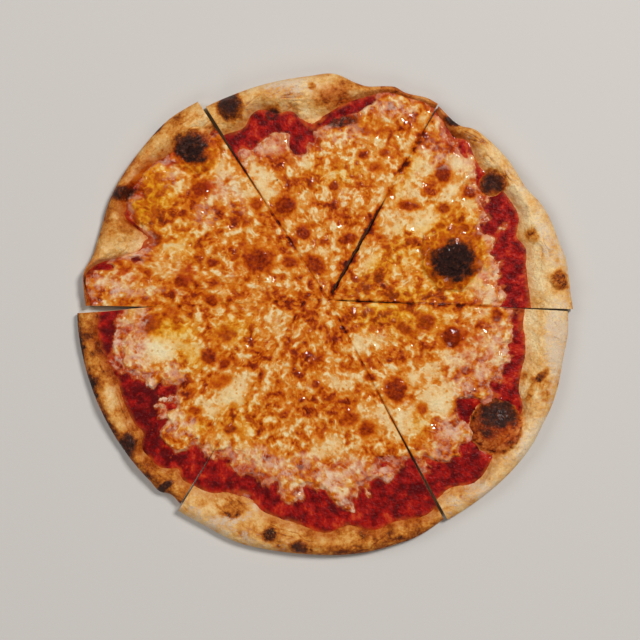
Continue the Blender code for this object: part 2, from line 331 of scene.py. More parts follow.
MARKS = (
    Mark(Kind.BUBBLE, 452, 256, 24, 27, 0, 7.8),
    Mark(Kind.BUBBLE, 496, 426, 20.5, 21, 0, 9.1),
    Mark(Kind.BUBBLE, 197, 153, 18, 17, 0, 6.0),
    Mark(Kind.BUBBLE, 148, 194, 16, 24, -8, 2.6),
    Mark(Kind.BUBBLE, 230, 106, 9, 10, 0, 3.2),
    Mark(Kind.BUBBLE, 493, 184, 10, 9, 0, 3.5),
    Mark(Kind.BUBBLE, 559, 281, 7.5, 7, 0, 3.0),
    Mark(Kind.BUBBLE, 125, 193, 9, 6, 0, 2.0),
    Mark(Kind.BUBBLE, 343, 119, 15, 6, 12, 1.5),
    Mark(Kind.BUBBLE, 396, 390, 8.5, 8.5, 0, 1.4),
    Mark(Kind.BUBBLE, 452, 337, 8, 8, 0, 2.0),
    Mark(Kind.BUBBLE, 299, 546, 7, 5, 0, 1.5),
    Mark(Kind.BUBBLE, 284, 208, 8, 7, 0, 1.4),
    Mark(Kind.CHAR, 453, 261, 15, 14, 0, 1.0),
    Mark(Kind.CHAR, 498, 414, 12.5, 10.5, 8, 0.85),
    Mark(Kind.CHAR, 486, 432, 7, 4, -30, 0.55),
    Mark(Kind.CHAR, 512, 440, 6, 2.5, 40, 0.4),
    Mark(Kind.CHAR, 191, 149, 11.5, 11.5, 0, 0.85),
    Mark(Kind.CHAR, 230, 107, 8, 9, 0, 0.8),
    Mark(Kind.CHAR, 272, 115, 6, 5, 0, 0.62),
    Mark(Kind.CHAR, 493, 183, 8.5, 7.5, 20, 0.7),
    Mark(Kind.CHAR, 125, 193, 9.5, 5.5, 10, 0.66),
    Mark(Kind.CHAR, 343, 121, 12, 4.5, 10, 0.55),
    Mark(Kind.CHAR, 299, 546, 6.5, 5, 0, 0.6),
    # A thin black strip along the left rim's outer edge: partly burnt crust, partly painted shade of the
    # edge turned from the light.
    Mark(Kind.CHAR, 76, 334, 2.2, 18, 0, 0.9),
    Mark(Kind.CHAR, 126, 447, 7, 9, -35, 0.9),
    Mark(Kind.CHAR, 161, 490, 9, 3, 40, 0.9),
    Mark(Kind.CHAR, 452, 121, 5, 3, -25, 0.9),
    Mark(Kind.CHAR, 157, 128, 6, 2.5, 40, 0.9),
    Mark(Kind.BROWN, 452, 337, 8, 8, 0, 1.25),
    Mark(Kind.BROWN, 396, 390, 8, 8.5, 0, 1.05),
    Mark(Kind.BROWN, 426, 322, 7, 6, 0, 0.9),
    Mark(Kind.BROWN, 497, 315, 4.5, 4.5, 0, 0.8),
    Mark(Kind.BROWN, 422, 409, 4, 4.5, 0, 0.55),
    Mark(Kind.BROWN, 405, 329, 7, 4, -30, 0.7),
    Mark(Kind.BROWN, 370, 377, 4, 3, 0, 0.8),
    Mark(Kind.BROWN, 316, 384, 3.5, 3.5, 0, 0.7),
    Mark(Kind.BROWN, 367, 429, 6.5, 6, 0, 0.7),
    Mark(Kind.BROWN, 350, 418, 7, 5, 0, 0.6),
    Mark(Kind.BROWN, 466, 371, 4, 3.5, 0, 0.8),
    Mark(Kind.BROWN, 443, 173, 5.5, 7.5, 0, 1.0),
    Mark(Kind.BROWN, 469, 192, 5, 4.5, 0, 0.95),
    Mark(Kind.BROWN, 408, 206, 8, 4, 0, 0.7),
    Mark(Kind.BROWN, 444, 209, 5, 4, 0, 0.8),
    Mark(Kind.BROWN, 363, 155, 4, 3.5, 0, 0.7),
    Mark(Kind.BROWN, 334, 186, 4, 4, 0, 0.8),
    Mark(Kind.BROWN, 375, 167, 6, 4, 0, 0.5),
    Mark(Kind.BROWN, 365, 131, 4, 3.5, 0, 0.6),
    Mark(Kind.BROWN, 384, 153, 4, 3.5, 0, 0.6),
    Mark(Kind.BROWN, 312, 140, 6, 5, 0, 0.6),
    Mark(Kind.BROWN, 347, 239, 7, 4, 20, 0.9),
    Mark(Kind.BROWN, 315, 265, 8, 6, -40, 0.8),
    Mark(Kind.BROWN, 285, 206, 8, 7, 20, 1.0),
    Mark(Kind.BROWN, 303, 233, 6, 5, -40, 0.9),
    Mark(Kind.BROWN, 258, 260, 11, 9, 0, 0.85),
    Mark(Kind.BROWN, 290, 262, 6, 5, 0, 0.7),
    Mark(Kind.BROWN, 212, 263, 4.5, 3.5, 0, 0.8),
    Mark(Kind.BROWN, 181, 281, 6, 5, 0, 0.8),
    Mark(Kind.BROWN, 212, 301, 5, 4.5, 0, 0.85),
    Mark(Kind.BROWN, 150, 324, 9, 8, 0, 0.65),
    Mark(Kind.BROWN, 171, 313, 6, 4.5, 0, 0.45),
    Mark(Kind.BROWN, 209, 357, 6, 5.5, -35, 1.0),
    Mark(Kind.BROWN, 225, 364, 4.5, 3.5, 20, 0.85),
    Mark(Kind.BROWN, 223, 381, 7, 4, 35, 0.5),
    Mark(Kind.BROWN, 230, 429, 5, 4, 0, 0.75),
    Mark(Kind.BROWN, 267, 458, 4, 3, 0, 0.8),
    Mark(Kind.BROWN, 226, 334, 7, 6, 0, 0.6),
    Mark(Kind.BROWN, 201, 189, 7, 6, 20, 0.85),
    Mark(Kind.BROWN, 156, 239, 5, 6, 0, 0.7),
    Mark(Kind.BROWN, 257, 204, 5, 5, 0, 0.6),
    Mark(Kind.BROWN, 170, 402, 4.5, 4.5, 0, 0.7),
    Mark(Kind.BROWN, 195, 411, 5, 3.5, 0, 0.6),
    Mark(Kind.CREAM, 160, 346, 12, 12, 0, 0.9),
    Mark(Kind.CREAM, 232, 393, 14, 8, 40, 0.8),
    Mark(Kind.CREAM, 215, 405, 10, 8, 20, 0.7),
    Mark(Kind.CREAM, 195, 352, 9, 7, 0, 0.45),
    Mark(Kind.CREAM, 225, 318, 7, 10, 0, 0.5),
    Mark(Kind.CREAM, 238, 350, 9, 7, 0, 0.5),
    Mark(Kind.CREAM, 415, 185, 8, 20, -28, 0.9),
    Mark(Kind.CREAM, 448, 190, 7, 14, 10, 0.75),
    Mark(Kind.CREAM, 462, 165, 9, 6, 0, 0.6),
    Mark(Kind.CREAM, 425, 222, 9, 9, 0, 0.85),
    Mark(Kind.CREAM, 405, 205, 8, 16, -30, 0.5),
    Mark(Kind.CREAM, 480, 262, 6, 16, 0, 0.6),
    Mark(Kind.CREAM, 478, 290, 12, 7, 0, 0.6),
    Mark(Kind.CREAM, 400, 262, 10, 7, 30, 0.5),
    Mark(Kind.CREAM, 308, 165, 14, 7, 20, 0.4),
    Mark(Kind.CREAM, 380, 122, 12, 6, 0, 0.4),
    Mark(Kind.CREAM, 420, 128, 5, 12, -30, 0.4),
    Mark(Kind.CREAM, 290, 230, 7, 6, 0, 0.4),
    Mark(Kind.CREAM, 392, 228, 9, 7, 0, 0.6),
    Mark(Kind.CREAM, 371, 263, 7, 6, 0, 0.7),
    Mark(Kind.CREAM, 470, 205, 8, 5, 20, 0.6),
    Mark(Kind.CREAM, 360, 343, 8, 8, -40, 0.8),
    Mark(Kind.CREAM, 400, 415, 18, 12, 0, 0.75),
    Mark(Kind.CREAM, 428, 372, 16, 11, 0, 0.65),
    Mark(Kind.CREAM, 455, 355, 9, 9, 0, 0.6),
    Mark(Kind.CREAM, 440, 400, 12, 12, 0, 0.7),
    Mark(Kind.CREAM, 470, 310, 20, 6, 0, 0.5),
    Mark(Kind.CREAM, 258, 175, 9, 9, -30, 0.75),
    Mark(Kind.CREAM, 250, 160, 10, 5, -50, 0.6),
    Mark(Kind.CREAM, 226, 168, 7, 9, 0, 0.6),
    Mark(Kind.CREAM, 265, 195, 8, 9, 0, 0.6),
    Mark(Kind.CREAM, 246, 186, 10, 8, 0, 0.35),
    Mark(Kind.CREAM, 345, 160, 14, 9, 20, 0.3),
    Mark(Kind.CREAM, 330, 250, 10, 14, 0, 0.4),
    Mark(Kind.CREAM, 370, 195, 12, 8, 0, 0.35),
    Mark(Kind.CREAM, 345, 380, 12, 18, 20, 0.35),
    Mark(Kind.CREAM, 365, 408, 9, 13, 30, 0.5),
    Mark(Kind.CREAM, 320, 452, 12, 8, 0, 0.45),
    Mark(Kind.CREAM, 250, 458, 10, 6, -30, 0.6),
    Mark(Kind.GOLD, 385, 315, 20, 10, 0, 0.9),
    Mark(Kind.GOLD, 405, 295, 22, 6, 0, 0.7),
    Mark(Kind.GOLD, 148, 196, 17, 25, -8, 0.95),
    Mark(Kind.GOLD, 378, 272, 30, 9, 50, 0.6),
    Mark(Kind.GOLD, 400, 250, 12, 18, -30, 0.5),
    Mark(Kind.GOLD, 400, 320, 26, 12, 0, 0.6),
    Mark(Kind.GOLD, 335, 96, 14, 7, 0, 0.7),
    Mark(Kind.GOLD, 452, 256, 24, 28, 0, 0.85),
    Mark(Kind.TOASTED, 378, 280, 26, 8, 45, 0.5),
    Mark(Kind.TOASTED, 408, 297, 26, 4, 0, 0.6),
    Mark(Kind.TOASTED, 340, 345, 9, 14, 20, 0.4),
    Mark(Kind.TOASTED, 425, 345, 20, 5, 20, 0.25),
    Mark(Kind.TOASTED, 440, 425, 10, 10, 0, 0.3),
    Mark(Kind.TOASTED, 385, 352, 8, 8, 0, 0.3),
    Mark(Kind.TOASTED, 375, 317, 12, 8, 0, 0.3),
    Mark(Kind.GOLD, 440, 232, 14, 8, 20, 0.7),
    Mark(Kind.GOLD, 405, 175, 6, 22, -28, 0.35),
    Mark(Kind.GOLD, 352, 120, 10, 5, 0, 0.5),
    Mark(Kind.GOLD, 345, 175, 12, 8, 20, 0.45),
    Mark(Kind.GOLD, 315, 175, 8, 8, 0, 0.3),
    Mark(Kind.GOLD, 172, 330, 18, 9, 0, 0.8),
    Mark(Kind.GOLD, 188, 352, 9, 14, 30, 0.6),
    Mark(Kind.GOLD, 235, 330, 14, 10, 0, 0.5),
    Mark(Kind.GOLD, 180, 240, 14, 14, 0, 0.35),
    Mark(Kind.GOLD, 240, 420, 18, 14, 0, 0.35),
    Mark(Kind.GOLD, 420, 425, 8, 8, 0, 0.4),
    Mark(Kind.GOLD, 195, 428, 9, 5, 20, 0.6),
    Mark(Kind.BROWN, 464, 228, 4, 3.5, 0, 0.7),
    Mark(Kind.BROWN, 478, 236, 3, 4, 0, 0.7),
    Mark(Kind.BROWN, 440, 226, 3.5, 3, 0, 0.6),
    Mark(Kind.BROWN, 477, 262, 3, 4, 0, 0.5),
    Mark(Kind.BROWN, 449, 286, 5, 3, 0, 0.5),
    Mark(Kind.TOASTED, 230, 280, 30, 16, 0, 0.2),
    Mark(Kind.TOASTED, 180, 215, 16, 12, 0, 0.2),
    Mark(Kind.TOASTED, 255, 250, 20, 14, 0, 0.25),
    Mark(Kind.TOASTED, 310, 340, 14, 22, 0, 0.45),
    Mark(Kind.TOASTED, 345, 325, 10, 9, 0, 0.5),
    Mark(Kind.TOASTED, 360, 350, 8, 16, 30, 0.3),
    Mark(Kind.TOASTED, 345, 405, 12, 8, 0, 0.35),
    Mark(Kind.TOASTED, 285, 425, 16, 14, 0, 0.25),
    Mark(Kind.TOASTED, 390, 135, 16, 12, 0, 0.3),
    Mark(Kind.TOASTED, 425, 135, 7, 9, 0, 0.5),
    Mark(Kind.TOASTED, 300, 195, 12, 12, 0, 0.2),
    Mark(Kind.TOASTED, 200, 325, 14, 12, 0, 0.2),
    Mark(Kind.TOASTED, 450, 300, 20, 6, 0, 0.3),
    Mark(Kind.TOASTED, 105, 262, 12, 6, 0, 0.6),
    Mark(Kind.TOASTED, 475, 205, 8, 8, 0, 0.4),
    Mark(Kind.RUDDY, 213, 190, 10, 9, 0, 0.8),
    Mark(Kind.RUDDY, 185, 272, 9, 6, -20, 0.6),
    Mark(Kind.RUDDY, 125, 275, 16, 7, 0, 0.5),
    Mark(Kind.RUDDY, 136, 335, 8, 12, 0, 0.8),
    Mark(Kind.RUDDY, 178, 292, 6, 4, 0, 0.6),
    Mark(Kind.RUDDY, 270, 150, 14, 10, 0, 0.8),
    Mark(Kind.RUDDY, 240, 150, 8, 6, 0, 0.6),
    Mark(Kind.RUDDY, 380, 110, 20, 6, -15, 0.5),
    Mark(Kind.RUDDY, 474, 350, 16, 20, 0, 0.75),
    Mark(Kind.RUDDY, 262, 138, 20, 10, 0, 1.0),
    Mark(Kind.RUDDY, 285, 152, 14, 8, 0, 0.9),
    Mark(Kind.RUDDY, 445, 440, 14, 10, 0, 0.5),
    Mark(Kind.RUDDY, 452, 372, 8, 9, 0, 0.4),
    Mark(Kind.RUDDY, 395, 330, 20, 5, 0, 0.3),
    Mark(Kind.RUDDY, 350, 468, 30, 9, 5, 0.6),
    Mark(Kind.RUDDY, 262, 470, 20, 9, -20, 0.6),
    Mark(Kind.RUDDY, 338, 208, 8, 8, 0, 0.35),
    Mark(Kind.RUDDY, 385, 240, 10, 5, 0, 0.5),
    Mark(Kind.RUDDY, 480, 290, 8, 10, 0, 0.7),
    Mark(Kind.RUDDY, 448, 138, 12, 14, 0, 0.6),
    Mark(Kind.TOASTED, 447, 140, 12, 14, 0, 0.3),
    Mark(Kind.RUDDY, 355, 185, 8, 6, 0, 0.3),
    Mark(Kind.RUDDY, 240, 268, 10, 6, 20, 0.3),
    Mark(Kind.BARE, 238, 134, 9, 6, 25, 0.6),
    Mark(Kind.BARE, 298, 144, 7, 9, 0, 0.7),
    Mark(Kind.BARE, 272, 126, 12, 4, -10, 0.7),
    Mark(Kind.FILM, 268, 146, 14, 8, 20, 0.4),
    Mark(Kind.BARE, 349, 107, 17, 4.5, 17, 1.0),
    Mark(Kind.BARE, 469, 409, 9, 10, -25, 1.0),
    Mark(Kind.BARE, 463, 402, 5, 5, 0, 0.7),
    Mark(Kind.BARE, 460, 468, 10, 7, -20, 0.8),
    Mark(Kind.BARE, 470, 452, 9, 5, -20, 0.6),
    Mark(Kind.BARE, 485, 180, 6, 5, 0, 0.7),
    Mark(Kind.BARE, 137, 262, 6, 3, -20, 0.7),
    Mark(Kind.BARE, 95, 266, 12, 2.5, -5, 0.9),
    Mark(Kind.DEEP, 116, 390, 7, 22, 20, 0.9),
    Mark(Kind.DEEP, 140, 408, 14, 16, 0, 1.0),
    Mark(Kind.DEEP, 150, 438, 16, 10, -45, 0.9),
    Mark(Kind.DEEP, 108, 335, 5, 14, 0, 0.6),
    Mark(Kind.DEEP, 262, 482, 12, 6, -20, 0.7),
    Mark(Kind.DEEP, 300, 497, 12, 7, 0, 0.5),
    Mark(Kind.DEEP, 400, 492, 16, 7, 10, 0.5),
    Mark(Kind.DEEP, 468, 412, 7, 8, 0, 0.4),
    Mark(Kind.DEEP, 462, 466, 12, 7, -20, 0.6),
    Mark(Kind.DEEP, 497, 212, 6, 12, 0, 0.4),
    Mark(Kind.DOUGH, 496, 427, 19.5, 20, 0, 1.0),
    Mark(Kind.DOUGH, 198, 154, 17, 16, 0, 1.0),
    Mark(Kind.DOUGH, 491, 185, 9, 8.5, 0, 1.0),
    Mark(Kind.CHEESE, 160, 409, 6, 4, -15, 0.7),
    Mark(Kind.CHEESE, 168, 415, 9, 3, 10, 0.6),
    Mark(Kind.CHEESE, 138, 358, 8, 7, 0, 0.6),
    Mark(Kind.CHEESE, 155, 378, 3, 8, -15, 0.7),
    Mark(Kind.CHEESE, 173, 438, 9, 6, -35, 0.9),
    Mark(Kind.CHEESE, 195, 428, 10, 6, 20, 0.8),
    Mark(Kind.CHEESE, 503, 227, 6, 3.5, 40, 0.2),
    Mark(Kind.CHEESE, 352, 476, 12, 4, 0, 0.4),
    Mark(Kind.CHEESE, 369, 492, 3, 8, 15, 0.45),
    Mark(Kind.CHEESE, 453, 458, 6, 7, 30, 0.5),
    Mark(Kind.CHEESE, 510, 350, 6, 12, 10, 0.3),
    Mark(Kind.FILM, 345, 503, 22, 3.2, -48, 0.9),
    Mark(Kind.FILM, 330, 480, 14, 6, -40, 0.9),
    Mark(Kind.FILM, 280, 468, 14, 6, -20, 0.8),
    Mark(Kind.FILM, 262, 456, 8, 5, -30, 0.8),
    Mark(Kind.FILM, 298, 492, 8, 3, -55, 0.6),
    Mark(Kind.FILM, 352, 470, 12, 6, 0, 0.7),
    Mark(Kind.FILM, 388, 478, 8, 5, -30, 0.6),
    Mark(Kind.FILM, 305, 462, 8, 6, 0, 0.5),
    Mark(Kind.FILM, 143, 318, 5, 6, 0, 0.8),
    Mark(Kind.FILM, 138, 352, 8, 12, 0, 0.8),
    Mark(Kind.FILM, 116, 342, 2.5, 12, 0, 0.6),
    Mark(Kind.FILM, 150, 382, 3, 11, -18, 0.9),
    Mark(Kind.FILM, 162, 400, 10, 4, 10, 0.8),
    Mark(Kind.FILM, 180, 425, 10, 7, -20, 0.8),
    Mark(Kind.FILM, 172, 372, 6, 6, 0, 0.5),
    Mark(Kind.FILM, 112, 288, 14, 5, -14, 0.8),
    Mark(Kind.FILM, 150, 292, 10, 4, 0, 0.4),
    Mark(Kind.FILM, 503, 225, 5, 5, -30, 1.0),
    Mark(Kind.FILM, 492, 216, 3, 7, -50, 0.6),
    Mark(Kind.FILM, 488, 293, 10, 5, 0, 0.6),
    Mark(Kind.FILM, 500, 262, 5, 12, 0, 0.6),
    Mark(Kind.FILM, 480, 372, 10, 11, 0, 0.55),
    Mark(Kind.FILM, 464, 388, 8, 8, 0, 0.7),
    Mark(Kind.FILM, 498, 345, 9, 14, 0, 0.5),
    Mark(Kind.FILM, 452, 430, 12, 9, 0, 0.75),
    Mark(Kind.FILM, 480, 458, 4, 9, 15, 0.7),
    Mark(Kind.FILM, 440, 452, 6, 8, 20, 0.5),
    Mark(Kind.FILM, 370, 106, 16, 4, -10, 0.6),
    Mark(Kind.FILM, 398, 110, 11, 5, -20, 0.7),
    Mark(Kind.FILM, 345, 135, 14, 6, 0, 0.45),
    Mark(Kind.FILM, 445, 160, 11, 6, 0, 0.6),
    Mark(Kind.FILM, 430, 150, 7, 6, 0, 0.5),
    Mark(Kind.FILM, 172, 178, 6, 6, 0, 0.5),
    Mark(Kind.FILM, 205, 215, 8, 8, 0, 0.4),
    Mark(Kind.FILM, 130, 252, 12, 5, -15, 0.5),
    Mark(Kind.FILM, 230, 190, 7, 16, 30, 0.45),
    Mark(Kind.CHEESE, 290, 115, 8, 4, 0, 0.5),
    Mark(Kind.CHEESE, 494, 355, 6, 8, 0, 0.4),
    Mark(Kind.CRUST_BROWN, 234, 509, 11, 6, 8, 0.9),
    Mark(Kind.CRUST_BROWN, 270, 534, 6, 5, 0, 0.9),
    Mark(Kind.CRUST_BROWN, 531, 236, 4, 6, 30, 1.3),
    # Dark strips along the left rim's outer edge: partly browned crust, partly painted shade of the edge
    # turned from the light.
    Mark(Kind.CRUST_BROWN, 79, 350, 3, 22, 8, 1.2),
    Mark(Kind.CRUST_BROWN, 90, 398, 3, 18, 24, 1.1),
    Mark(Kind.CRUST_BROWN, 110, 430, 4, 14, 36, 0.9),
    # This thin dark mark is painted shade in a fold of the right rim.
    Mark(Kind.CRUST_BROWN, 530, 392, 2, 8, -20, 1.0),
    Mark(Kind.CRUST_BROWN, 524, 376, 3, 3, 0, 0.9),
    Mark(Kind.CRUST_BROWN, 312, 87, 3, 2.5, 0, 1.0),
    Mark(Kind.CRUST_BROWN, 273, 112, 7, 5, 0, 0.8),
    Mark(Kind.CRUST_BROWN, 540, 382, 7, 5, 0, 0.7),
    Mark(Kind.CRUST_BROWN, 85, 290, 4, 12, 0, 0.3),
    Mark(Kind.CRUST_BROWN, 95, 235, 5, 22, 18, 0.3),
    Mark(Kind.CRUST_BROWN, 328, 548, 22, 4, 0, 0.5),
    Mark(Kind.CRUST_BROWN, 400, 534, 20, 4, 15, 0.5),
    Mark(Kind.CRUST_BROWN, 205, 500, 8, 4, 15, 0.5),
    Mark(Kind.CRUST_BROWN, 92, 350, 6, 16, 5, 0.5),
    Mark(Kind.CRUST_BROWN, 92, 385, 6, 14, 18, 0.5),
    Mark(Kind.CRUST_BROWN, 150, 470, 14, 6, -45, 0.7),
    Mark(Kind.CRUST_BROWN, 355, 85, 14, 6, 5, 0.6),
    Mark(Kind.CRUST_BROWN, 333, 97, 13, 8, 0, 0.8),
    Mark(Kind.CRUST_BROWN, 275, 95, 16, 6, 10, 0.45),
    Mark(Kind.CRUST_BROWN, 215, 120, 5, 8, 0, 0.5),
    Mark(Kind.CRUST_BROWN, 147, 195, 12, 16, 0, 0.6),
    Mark(Kind.CRUST_BROWN, 455, 140, 8, 6, 0, 0.5),
    Mark(Kind.CRUST_BROWN, 505, 200, 5, 9, 30, 0.5),
    Mark(Kind.CRUST_BROWN, 497, 426, 17, 17, 0, 1.2),
    Mark(Kind.GOLD, 497, 430, 18, 18, 0, 0.35),
    Mark(Kind.CRUST_BROWN, 559, 281, 6.5, 7.5, 20, 1.2),
    Mark(Kind.CRUST_BROWN, 106, 212, 5, 8, 25, 0.6),
    Mark(Kind.CRUST_BROWN, 172, 126, 14, 4, 38, 0.6),
    # This thin dark mark is painted shade in a fold of the right rim.
    Mark(Kind.CRUST_BROWN, 541, 376, 3, 6.5, -40, 1.5),
    Mark(Kind.CRUST_BROWN, 545, 396, 4, 4, 0, 0.7),
    Mark(Kind.CRUST_BROWN, 100, 392, 5, 14, 20, 0.7),
    Mark(Kind.CRUST_BROWN, 196, 155, 15, 15, 0, 0.5),
    Mark(Kind.GOLD, 200, 160, 12, 12, 0, 0.7),
    Mark(Kind.CRUST_PALE, 137, 177, 4.5, 4.5, 0, 0.8),
    Mark(Kind.CRUST_PALE, 128, 245, 12, 8, -20, 0.6),
    Mark(Kind.CRUST_PALE, 112, 405, 6, 20, 25, 0.5),
    Mark(Kind.CRUST_PALE, 516, 200, 6, 16, 35, 0.7),
    Mark(Kind.CRUST_PALE, 533, 262, 6, 20, 8, 0.6),
    Mark(Kind.CRUST_PALE, 528, 330, 6, 26, -4, 0.5),
    Mark(Kind.CRUST_PALE, 528, 440, 12, 20, -35, 0.6),
    Mark(Kind.FLOUR, 286, 89, 18, 7, 5, 1.1),
    Mark(Kind.FLOUR, 245, 112, 8, 8, 0, 0.3),
    Mark(Kind.FLOUR, 225, 520, 22, 6, 20, 0.8),
    Mark(Kind.FLOUR, 255, 505, 8, 5, 0, 0.6),
    Mark(Kind.FLOUR, 545, 240, 6, 22, 18, 0.7),
    Mark(Kind.FLOUR, 556, 340, 9, 32, -4, 0.9),
    Mark(Kind.FLOUR, 534, 440, 9, 26, -40, 0.7),
    Mark(Kind.FLOUR, 480, 490, 14, 8, -20, 0.7),
    Mark(Kind.FLOUR, 455, 502, 8, 5, 0, 0.6),
)


@dataclass(frozen=True)
class Slice:
    """One slice: the cuts that bound it, and its outlines in degrees and millimetres.

    foot is where the rim comes up out of the toppings, and cheese is the cheese's edge. crest, brown
    and flour run evenly from the first cut to the second: the rim's height, how far it is browned, and
    how floury it is.
    """

    number: int
    tip_cut: int
    first: int
    second: int
    outer: Outline
    foot: Outline
    cheese: Outline
    crest: tuple[float, ...]
    brown: tuple[float, ...]
    flour: tuple[float, ...]


SLICES = (
    Slice(
        number=1,
        tip_cut=0,
        first=0,
        second=1,
        outer=Outline(
            ((-2, 178.4), (0, 177.2), (5, 176), (10, 175.5), (15, 173), (20, 172), (25, 169.5), (28, 166.5))
            + ((38, 166), (45, 165), (50, 163), (52.5, 159.5), (55, 159), (57, 160), (60.5, 162.5))
        ),
        foot=Outline(
            ((-2, 146.5), (10, 146.5), (14.5, 149), (19, 145.5), (23, 151.5), (30, 151.5), (36, 150))
            + ((41.5, 147.5), (45, 150.5), (49.5, 154.5), (52, 150.5), (55, 153.5), (60.5, 160))
        ),
        cheese=Outline(
            ((-2, 123), (15, 121.5), (20, 124.5), (27, 122.5), (31, 130.5), (36, 134.5), (42, 142))
            + ((50, 147), (56, 150.5), (60.5, 158))
        ),
        crest=(12, 12.5, 13, 12, 11, 9),
        brown=(0.22, 0.22, 0.2, 0.24, 0.3, 0.5),
        flour=(0.5, 0.5, 0.45, 0.4, 0.25, 0.1),
    ),
    Slice(
        number=2,
        tip_cut=1,
        first=1,
        second=2,
        outer=Outline(
            ((60.5, 163.5), (64.5, 163.5), (66, 162.5), (70, 161), (72.5, 162.5), (75, 161), (80, 158))
            + ((83, 159.5), (88, 164.5), (95, 163.5), (105, 163.5), (115, 164.5), (123, 166.5))
        ),
        foot=Outline(
            ((60.5, 161), (70, 158), (76, 156), (79, 152), (85, 144), (90, 136), (93, 129), (95, 127))
            + ((98, 131), (100, 138.5), (105, 141.5), (110.5, 148), (112.5, 146.5), (115, 141.5))
            + ((123, 142.5),)
        ),
        cheese=Outline(
            ((60.5, 160), (76, 153.5), (79, 145), (83, 133.5), (88, 130.5), (92, 120.5), (98, 116))
            + ((104, 124), (112, 123), (123, 121))
        ),
        crest=(9, 9, 12, 14, 14, 13),
        brown=(0.45, 0.42, 0.32, 0.2, 0.24, 0.3),
        flour=(0.0, 0.0, 0.15, 0.35, 0.25, 0.15),
    ),
    Slice(
        number=3,
        tip_cut=2,
        first=2,
        second=3,
        outer=Outline(
            ((123, 172.5), (126, 173.5), (131, 175), (140, 174.5), (155, 174.5), (165, 173), (170, 174.5))
            + ((172.5, 177.5), (178, 177), (182, 176))
        ),
        foot=Outline(
            ((123, 149), (131, 152), (137, 157), (140.5, 160), (147, 163.5), (155, 162.5), (158.5, 156.5))
            + ((160.5, 139), (162.5, 138.5), (165.5, 141.5), (167, 148), (169, 159), (170.5, 168))
            + ((172, 174), (182, 174))
        ),
        cheese=Outline(
            ((123, 145), (130, 148), (140, 158), (150, 161.5), (156, 156.5), (161, 135.5), (166, 139))
            + ((170, 161), (173, 171), (182, 171))
        ),
        crest=(12, 12.5, 13, 13, 12, 9),
        brown=(0.3, 0.34, 0.42, 0.42, 0.32, 0.4),
        flour=(0.15, 0.1, 0.0, 0.1, 0.2, 0.0),
    ),
    Slice(
        number=4,
        tip_cut=3,
        first=3,
        second=4,
        outer=Outline(
            ((182, 182.4), (185, 182.8), (195, 183), (205, 183.5), (215, 184), (225, 184.5), (229, 184.5))
            + ((230, 182.5), (234, 183))
        ),
        foot=Outline(
            ((182, 167.5), (188, 170), (195, 167.5), (200, 164.5), (207, 166.5), (213, 167.5), (216.3, 167))
            + ((217.5, 171.5), (222, 174), (225, 173), (229, 165), (230.5, 168), (234, 167.5))
        ),
        cheese=Outline(
            ((182, 150), (191, 151.5), (194, 156.5), (197, 158.5), (200, 151), (203, 143), (206, 134))
            + ((210, 129), (213, 131), (216, 138), (219, 147), (222, 156), (225, 153), (227, 145))
            + ((234, 137.5),)
        ),
        crest=(11, 11, 13, 12, 12, 11),
        brown=(0.53, 0.55, 0.51, 0.45, 0.46, 0.48),
        flour=(0.0, 0.0, 0.1, 0.1, 0.05, 0.05),
    ),
    Slice(
        number=5,
        tip_cut=3,
        first=4,
        second=5,
        outer=Outline(
            ((234, 188), (240, 187), (250, 188), (257, 186.5), (265, 185.5), (278, 185.5), (285, 184.5))
            + ((290, 184), (298, 180))
        ),
        foot=Outline(
            ((234, 167.5), (240, 163), (242.5, 158), (247, 153.5), (249, 154), (252, 160), (257.5, 163))
            + ((262, 164.5), (270, 170), (275, 165), (281, 171.5), (287, 169), (295, 172.5), (298, 170.5))
        ),
        cheese=Outline(
            ((234, 137.5), (247, 135.5), (252, 140.5), (258, 145), (264, 138.5), (267, 136), (272, 144))
            + ((277, 142.5), (283, 132), (290, 127.5), (298, 127))
        ),
        crest=(12, 13, 13, 12.5, 11, 10),
        brown=(0.25, 0.3, 0.4, 0.48, 0.52, 0.48),
        flour=(0.5, 0.5, 0.3, 0.1, 0.05, 0.05),
    ),
    Slice(
        number=6,
        tip_cut=5,
        first=5,
        second=0,
        outer=Outline(
            ((298, 182), (308, 182), (317, 182.5), (325, 182), (330, 180.5), (335, 180), (340, 178.5))
            + ((345, 176.5), (353, 176), (357.6, 174.5))
        ),
        foot=Outline(
            ((298, 166), (303, 163.5), (309, 171), (312, 170.5), (316, 166.5), (324, 164.5), (331, 162.5))
            + ((335, 153.5), (339, 150.5), (345, 149), (348, 146.5), (352, 141.5), (357.6, 141.5))
        ),
        cheese=Outline(
            ((298, 137.5), (303, 138.5), (307, 145), (311, 148.5), (315, 140.5), (321, 130.5), (328, 134))
            + ((335, 134.5), (341, 129), (348, 130.5), (353, 134.5), (357.6, 132))
        ),
        crest=(10, 11, 12, 12, 12, 12),
        brown=(0.3, 0.25, 0.25, 0.25, 0.22, 0.22),
        flour=(0.3, 0.4, 0.4, 0.45, 0.5, 0.5),
    ),
)


@dataclass(frozen=True)
class Places:
    """Many places of one slice, in millimetres from the crossing, with their share of the way across."""

    x: Array
    y: Array
    angle: Array
    radius: Array
    share: Array


